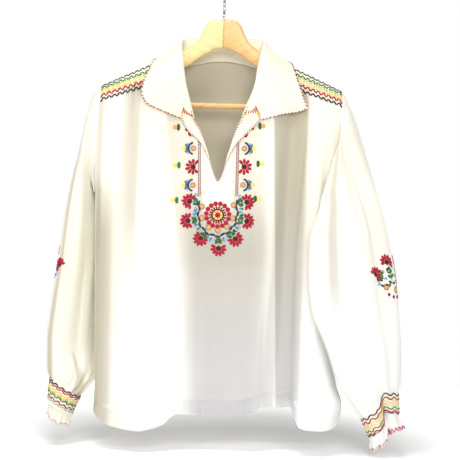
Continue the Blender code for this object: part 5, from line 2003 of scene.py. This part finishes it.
# Sleeve embroidery, measured from the outer line of the sleeve
def sleeve_spot_for(side):
    """Turns distance forward of the outer line, and height, into a place on the sleeve."""
    grid = sleeves[side][1]
    ground = Ground(grid, True, side == 1)
    outer_z = grid[:, 0, 2]
    steps = np.linalg.norm(np.diff(ground.grid, axis=1), axis=2)
    total = np.concatenate([np.zeros((len(steps), 1)), np.cumsum(steps, axis=1)], axis=1)
    full = total[:, SLEEVE_COUNT]
    places = np.arange(SLEEVE_COUNT + 1)

    def spot(a, z):
        a, z = np.broadcast_arrays(np.asarray(a, float), np.asarray(z, float))
        row = np.interp(-z, -outer_z, np.arange(len(outer_z)))
        nearest = np.clip(np.round(row).astype(int), 0, len(outer_z) - 1)
        cols = [
            np.interp(reach % full[r], total[r, : SLEEVE_COUNT + 1], places)
            for r, reach in zip(nearest.ravel(), a.ravel())
        ]
        return ground.at(row, np.reshape(cols, a.shape))

    return spot


SLEEVE_LEAVES = (
    (0.0300, -0.4960, 60, "sky"),
    (0.0250, -0.4900, 20, "green"),
    (0.0330, -0.5060, -30, "sky"),
    (0.0090, -0.4860, 60, "green"),
    (0.0060, -0.4820, 100, "sky"),
    (0.0200, -0.4850, 150, "forest"),
    (0.0130, -0.5060, -60, "green"),
    (0.0280, -0.5020, 10, "forest"),
)


SLEEVE_FLOWERS = (
    (0.041, -0.4900, 135),
    (0.0150, -0.4690, 100),
    (-0.0150, -0.4690, 80),
    (-0.041, -0.4900, 45),
)
SLEEVE_PETALS = (
    (0.0185, -0.5260),
    (0.0085, -0.5300),
    (-0.0015, -0.5310),
    (-0.0115, -0.5290),
    (-0.0195, -0.5260),
)


def sleeve_motif(side, shift, label):
    """Flowers on a garland with leaves, circles and a row of petals below."""
    spot = sleeve_spot_for(side)
    work = Stitching()

    def place(x, z):
        return (shift + x, z)

    for x, z, toward in SLEEVE_FLOWERS:
        heart = flower(work, spot, place(x, z), toward)
        foot = place(x * 0.62, -0.5040 + abs(x) * 0.10)
        spray(work, spot, foot, heart)
    for k in range(8):
        x = -0.0340 + 0.0085 * k + 0.0005
        z = -0.5025 - 0.30 * (x + 0.004) ** 2 / 0.034
        turn = math.radians(20 if k % 2 else -20)
        work.petal(spot, place(x, z - 0.002), turn, 0.0090, 0.0038, 0.0010, "navy", 1.0)
    for x, z, turn, ink in SLEEVE_LEAVES:
        for way in (-1, 1):
            angle = math.radians(90 - way * (90 - turn))
            work.petal(spot, place(way * x, z), angle, 0.0088, 0.0046, 0.0010, ink, 0.95)
    for x in (-0.0230, 0.0230):
        eyed_circle(work, spot, place(x, -0.5130), 0.0048)
    eyed_circle(work, spot, place(0.0, -0.5180), 0.0048)
    for x, z in SLEEVE_PETALS:
        work.petal(spot, place(x - 0.003, z), 0.0, 0.0064, 0.0062, 0.0011, "red", 1.0)
    return work.piece("sleeve_embroidery_" + label)


sleeve_motifs = [sleeve_motif(0, -0.043, "left"), sleeve_motif(1, 0.016, "right")]

# Collar edging: slanting stitches over the outer edge
collar_outer = Ground(collar_points + collar_out * COLLAR_THICK / 2)
collar_work = Stitching()
edge_row = len(collar_points) - 1
edge_steps = distances(collar_points[-1])
edge_columns = np.arange(len(edge_steps))
count = int(edge_steps[-1] / 0.0066)
for k in range(count):
    at = (k + 0.5 + 0.12 * rng.uniform(-1, 1)) / count * edge_steps[-1]
    col = float(np.interp(at, edge_steps, edge_columns))
    slant = float(np.interp(at + 0.0026, edge_steps, edge_columns)) - col
    rows = np.array([edge_row - 0.95, edge_row - 0.5, edge_row - 0.05])
    cols = col + np.array([-0.5, -0.1, 0.3]) * slant
    points, out = collar_outer.at(rows, cols)
    away = unit(points[2] - points[1])
    over = points + out * np.array([[0.0003], [0.0004], [0.0002]])
    turned = points[2] + away * 0.0009 - out[2] * 0.0005
    under = points[1] - out[1] * 0.0017
    path = np.concatenate([over, [turned, under]])
    ways = np.concatenate([out, [away, -out[1]]])
    collar_work.rope(path, ways, 0.00085, EDGE_INKS[k % 2])
collar_edging = collar_work.piece("collar_edging")

# Lapel edging: fine stitches along the fold and the outer edge
lapel_work = Stitching()
lapel_grounds = [Ground(grid + normals(grid, False) * 0.00045) for grid in lapel_grids]
for ground, way in zip(lapel_grounds, (1, -1)):
    cols = ground.grid.shape[1] - 1
    for k in range(6):
        share = (k + 0.7) / 6.4
        inner = share if way > 0 else 1 - share
        rows = 0.8 + 8.5 * inner + np.array([0.0, 2.2, 4.4])
        points, out = ground.at(rows, cols * share + np.array([-0.1, 0.0, 0.1]) * way)
        lapel_work.rope(points + out * 0.0004, out, 0.00095, "red")
    for share in (0.10, 0.85):
        row = 7.0 + 8.0 * (share if way > 0 else 1 - share)

        def lapel_spot(a, b, ground=ground, row=row, share=share):
            return ground.at(row - b / 0.0017, cols * share + a / 0.0017)

        lapel_work.dot(lapel_spot, (0.0, 0.0), 0.0030, 0.0003, "yellow")
for grid, ground in zip(lapel_grids, lapel_grounds):
    for column, inward in ((0, 1), (grid.shape[1] - 1, -1)):
        steps = distances(grid[:, column])
        count = int(steps[-1] / 0.0046)
        for k in range(count):
            row = float(np.interp((k + 0.5) / count * steps[-1], steps, np.arange(len(steps))))
            cols = column + inward * np.array([1.5, 0.8, 0.1])
            points, out = ground.at(row + np.array([-0.5, 0.0, 0.5]), cols)
            lapel_work.rope(points + out * 0.0004, out, 0.00058, EDGE_INKS[k % 2], 5)
for start, end in ((-0.0185, -0.0036), (0.0102, -0.0026)):
    xs = np.linspace(start, end, 80)
    line = np.stack([xs, front_top(xs)], axis=1)
    steps = distances(line)
    count = int(steps[-1] / 0.0042)
    for k in range(count):
        at = (k + 0.5) / count * steps[-1]
        here = point_on(line, steps, at)
        ahead = unit(point_on(line, steps, at + 0.001) - here)
        inward = np.array([ahead[1], -ahead[0]]) * (1 if start < end else -1)
        offsets = ((-0.0004, 0.0), (0.0010, 0.0006), (0.0024, 0.0014))
        x, z = np.transpose([here + inward * a + ahead * b for a, b in offsets])
        points = np.stack([x, -cloth_y(True, x, z) - 0.0005, z], axis=1)
        lapel_work.rope(points, facing(-1, 1, 3), 0.00062, EDGE_INKS[k % 2], 5)
lapel_edging = lapel_work.piece("lapel_edging")

# Seams: fine white running stitches along the hems, and the armhole and side seams
seam_work = Stitching()


def body_line(front, base, above):
    """Points on the cloth at a height above the hem."""
    hem = curve(HEM, "front" if front else "back", base)
    z = hem + above
    y = cloth_y(front, base, z) + 0.0002
    return np.stack([base, -y if front else y, z], axis=-1)


HEM_STITCHES = 120
for front, way in ((True, -1), (False, 1)):
    for k in range(HEM_STITCHES):
        start = -0.205 + 0.410 * k / HEM_STITCHES
        base = start + np.array([0.0, 0.0011, 0.0021])
        points = body_line(front, base, HEM_HIGH - 0.0015)
        seam_work.rope(points, facing(way, 1, 3), 0.00022, "white", 4)
for side, label in enumerate(SIDES):
    seam = armhole_ring(side, np.linspace(0, 2 * math.pi, 121), GAP / 2)
    seam_work.rope(seam, facing((-1, 1)[side], 0, 121), 0.0006, "white")
    down = np.linspace(-ARMPIT_Z[side] + 0.002, 0.741, 90)
    x = curve(EDGES, label, down)
    seam = np.stack([x, 0 * x, -down], axis=-1)
    seam_work.rope(seam, facing(-1, 1, 90), 0.0005, "white")
seams = seam_work.piece("seams")


# Hanger
def arm(name, sign, mat):
    """Half of the wooden hanger with rounded edges."""
    xs = finer(sorted([row[0] for row in ARM["rows"]] + [0.084, 0.120, 0.155]), 4)
    turns = np.radians(np.arange(0, 360, 10) + 5)
    rows = []
    for x in xs:
        top, low, half = values_at(ARM, x)
        share = float(smooth((x - 0.056) / 0.013))
        top = top + (float(ridge(x)) - CLOTH / 2 - 0.0013 - top) * share
        if x > 0.193:
            top = top - (x - 0.193) ** 2 * 45
        c, s = np.cos(turns), np.sin(turns)
        y = half * np.sign(c) * np.abs(c) ** 0.6
        tall = np.sign(s) * (np.abs(s) / math.sin(math.radians(85))) ** 0.85
        z = (top + low) / 2 + (top - low) / 2 * tall
        rows.append(np.stack([np.full_like(y, sign * x), y, z], axis=-1))
    end = rows[-1].mean(axis=0)
    for share in (0.9, 0.6, 0.02):
        last = end + (rows[-1] - end) * share
        last[:, 0] = sign * (xs[-1] + 0.0016 * (1 - share))
        rows.append(last)
    first = rows[0].mean(axis=0)
    for share in (0.93, 0.02):
        rows.insert(0, first + (rows[0] - first) * share)
    grid = np.array(rows)
    return solid(name, grid[:, ::-1] if sign < 0 else grid, mat)


# How the rings of a rod shrink towards its end, and how far out each is
ROD_END = ((0.05, 1.0), (0.6, 0.75), (0.9, 0.35))


def rod(name, path, radius, mat, count):
    """A round rod along a path, with rounded ends."""
    path = np.array(path, float)
    turns = np.linspace(0, 2 * math.pi, count, endpoint=False)
    rows = []
    beside = None
    for k in range(len(path)):
        ahead = unit(path[min(k + 1, len(path) - 1)] - path[max(k - 1, 0)])
        if beside is None:
            beside = np.cross(ahead, (0.3, 0.2, 0.9))
        beside = unit(beside - ahead * float(np.dot(beside, ahead)))
        other = np.cross(ahead, beside)
        circle = np.cos(turns)[:, None] * beside + np.sin(turns)[:, None] * other
        if k == 0:
            for share, back in ROD_END:
                rows.append(path[0] - ahead * radius * 0.5 * back + radius * share * circle)
        rows.append(path[k] + radius * circle)
        if k == len(path) - 1:
            for share, back in reversed(ROD_END):
                rows.append(path[-1] + ahead * radius * 0.5 * back + radius * share * circle)
    return solid(name, np.array(rows), mat)


arm_left = arm("wood_arm_left", -1, PALE_WOOD)
arm_right = arm("wood_arm_right", 1, WARM_WOOD)
path = [(x, 0.0, BAR_Z) for x in np.linspace(-BAR_HALF, BAR_HALF, 30)]
bar = rod("wood_bar", path, BAR_RADIUS, WARM_WOOD, 32)
hook_centre = -(HOOK_RADIUS - HOOK_WIRE)
path = [(0.0, 0.0, -0.0570), (0.0, 0.0, -0.0515)]
path += [(0.0, 0.0012, -0.0480), (0.0, 0.0048, -0.0447), (0.0, 0.0098, -0.0420)]
for angle in np.linspace(-46, 205, 60):
    a = math.radians(angle)
    path.append((0.0, HOOK_RADIUS * math.cos(a), hook_centre + HOOK_RADIUS * math.sin(a)))
hook = rod("wire_hook", path, HOOK_WIRE, STEEL, 20)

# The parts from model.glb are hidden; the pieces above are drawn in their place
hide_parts("front")
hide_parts("back")
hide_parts("collar")
for side, label in enumerate(SIDES):
    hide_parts("yoke_" + label)
    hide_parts("lapel_" + label)
    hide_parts("sleeve_" + label)
    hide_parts("cuff_" + label)
    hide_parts("ruffle_" + label)
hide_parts("hanger_arm_left")
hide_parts("hanger_arm_right")
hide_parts("hanger_bar")
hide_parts("hanger_hook")

# Floor, light and camera
FLOOR_Z = -0.806
FLOOR_FAR = 0.85
floor_mesh = bpy.data.meshes.new("floor")
corners = [
    (-1.8, -1.2, FLOOR_Z),
    (1.8, -1.2, FLOOR_Z),
    (1.8, FLOOR_FAR, FLOOR_Z),
    (-1.8, FLOOR_FAR, FLOOR_Z),
]
floor_mesh.from_pydata(corners, [], [(0, 1, 2, 3)])
floor = bpy.data.objects.new("floor", floor_mesh)
bpy.context.scene.collection.objects.link(floor)
floor_mat, floor_tree = new_material("pale_floor")
floor_place = object_place(floor_tree)
speckle = noise(floor_tree, floor_place, 60.0, 3.0)
across = add_node(floor_tree, "ShaderNodeSeparateXYZ", {"Vector": floor_place}).outputs
# Painted light: the floor glows a little under the garment and more towards its edges, lightening
# the shadows and fading it into the white world
outward = combined(
    floor_tree,
    "ADD",
    combined(floor_tree, "MULTIPLY", across["X"], across["X"]),
    combined(floor_tree, "MULTIPLY", across["Y"], across["Y"]),
)
floor_shader = add_node(
    floor_tree,
    "ShaderNodeBsdfPrincipled",
    {
        "Base Color": mixed(floor_tree, speckle, (0.93, 0.93, 0.93, 1.0), (0.90, 0.90, 0.90, 1.0)),
        "Roughness": 0.9,
        "Emission Color": (1.0, 1.0, 1.0, 1.0),
        "Emission Strength": ranged(floor_tree, outward, 0.14, 0.60, 0.20, 0.95),
    },
)
show(floor_tree, floor_shader.outputs[0])
floor_mesh.materials.append(floor_mat)


def soft_light(name, place, target, size, power, colour):
    """A square lamp that points at a place."""
    data = bpy.data.lights.new(name, "AREA")
    data.shape = "SQUARE"
    data.size = size
    data.energy = power
    data.color = colour
    lamp = bpy.data.objects.new(name, data)
    lamp.location = place
    aim = Vector(target) - Vector(place)
    lamp.rotation_mode = "QUATERNION"
    lamp.rotation_quaternion = aim.to_track_quat("-Z", "Y")
    bpy.context.scene.collection.objects.link(lamp)


soft_light("key", (0.55, -2.8, 0.9), (0.0, 0.0, -0.4), 1.4, 49.0, (1.0, 1.0, 1.0))
soft_light("fill", (-2.0, -2.2, 0.1), (0.0, 0.0, -0.4), 1.6, 23.0, (1.0, 0.99, 0.96))
soft_light("top", (-0.25, -0.9, 1.9), (0.0, 0.3, -0.8), 0.8, 36.0, (1.0, 1.0, 1.0))

world = bpy.data.worlds.new("pale_world")
bpy.context.scene.world = world
world.use_nodes = True
tree = world.node_tree
tree.nodes.clear()
seen = add_node(tree, "ShaderNodeBackground", {"Color": (1.0, 1.0, 1.0, 1.0), "Strength": 1.0})
felt = add_node(tree, "ShaderNodeBackground", {"Color": (1.0, 0.995, 0.98, 1.0), "Strength": 0.30})
ray = add_node(tree, "ShaderNodeLightPath").outputs["Is Camera Ray"]
choice = layered(tree, ray, felt.outputs[0], seen.outputs[0])
add_node(tree, "ShaderNodeOutputWorld", {"Surface": choice})
bpy.context.scene.view_settings.view_transform = "Standard"

CAMERA_AT = (0.0201, -2.0, -0.4231)
CAMERA_LENS = 89.44
CAMERA_ROLL = math.radians(1.5)
camera_data = bpy.data.cameras.new("camera")
camera_data.lens = CAMERA_LENS
camera_data.sensor_width = 36.0
camera_data.clip_end = 30.0
camera = bpy.data.objects.new("camera", camera_data)
across = (math.cos(CAMERA_ROLL), 0.0, math.sin(CAMERA_ROLL))
upward = (-math.sin(CAMERA_ROLL), 0.0, math.cos(CAMERA_ROLL))
turned = Matrix((across, upward, (0.0, -1.0, 0.0))).transposed()
camera.matrix_world = Matrix.Translation(CAMERA_AT) @ turned.to_4x4()
bpy.context.scene.collection.objects.link(camera)
bpy.context.scene.camera = camera
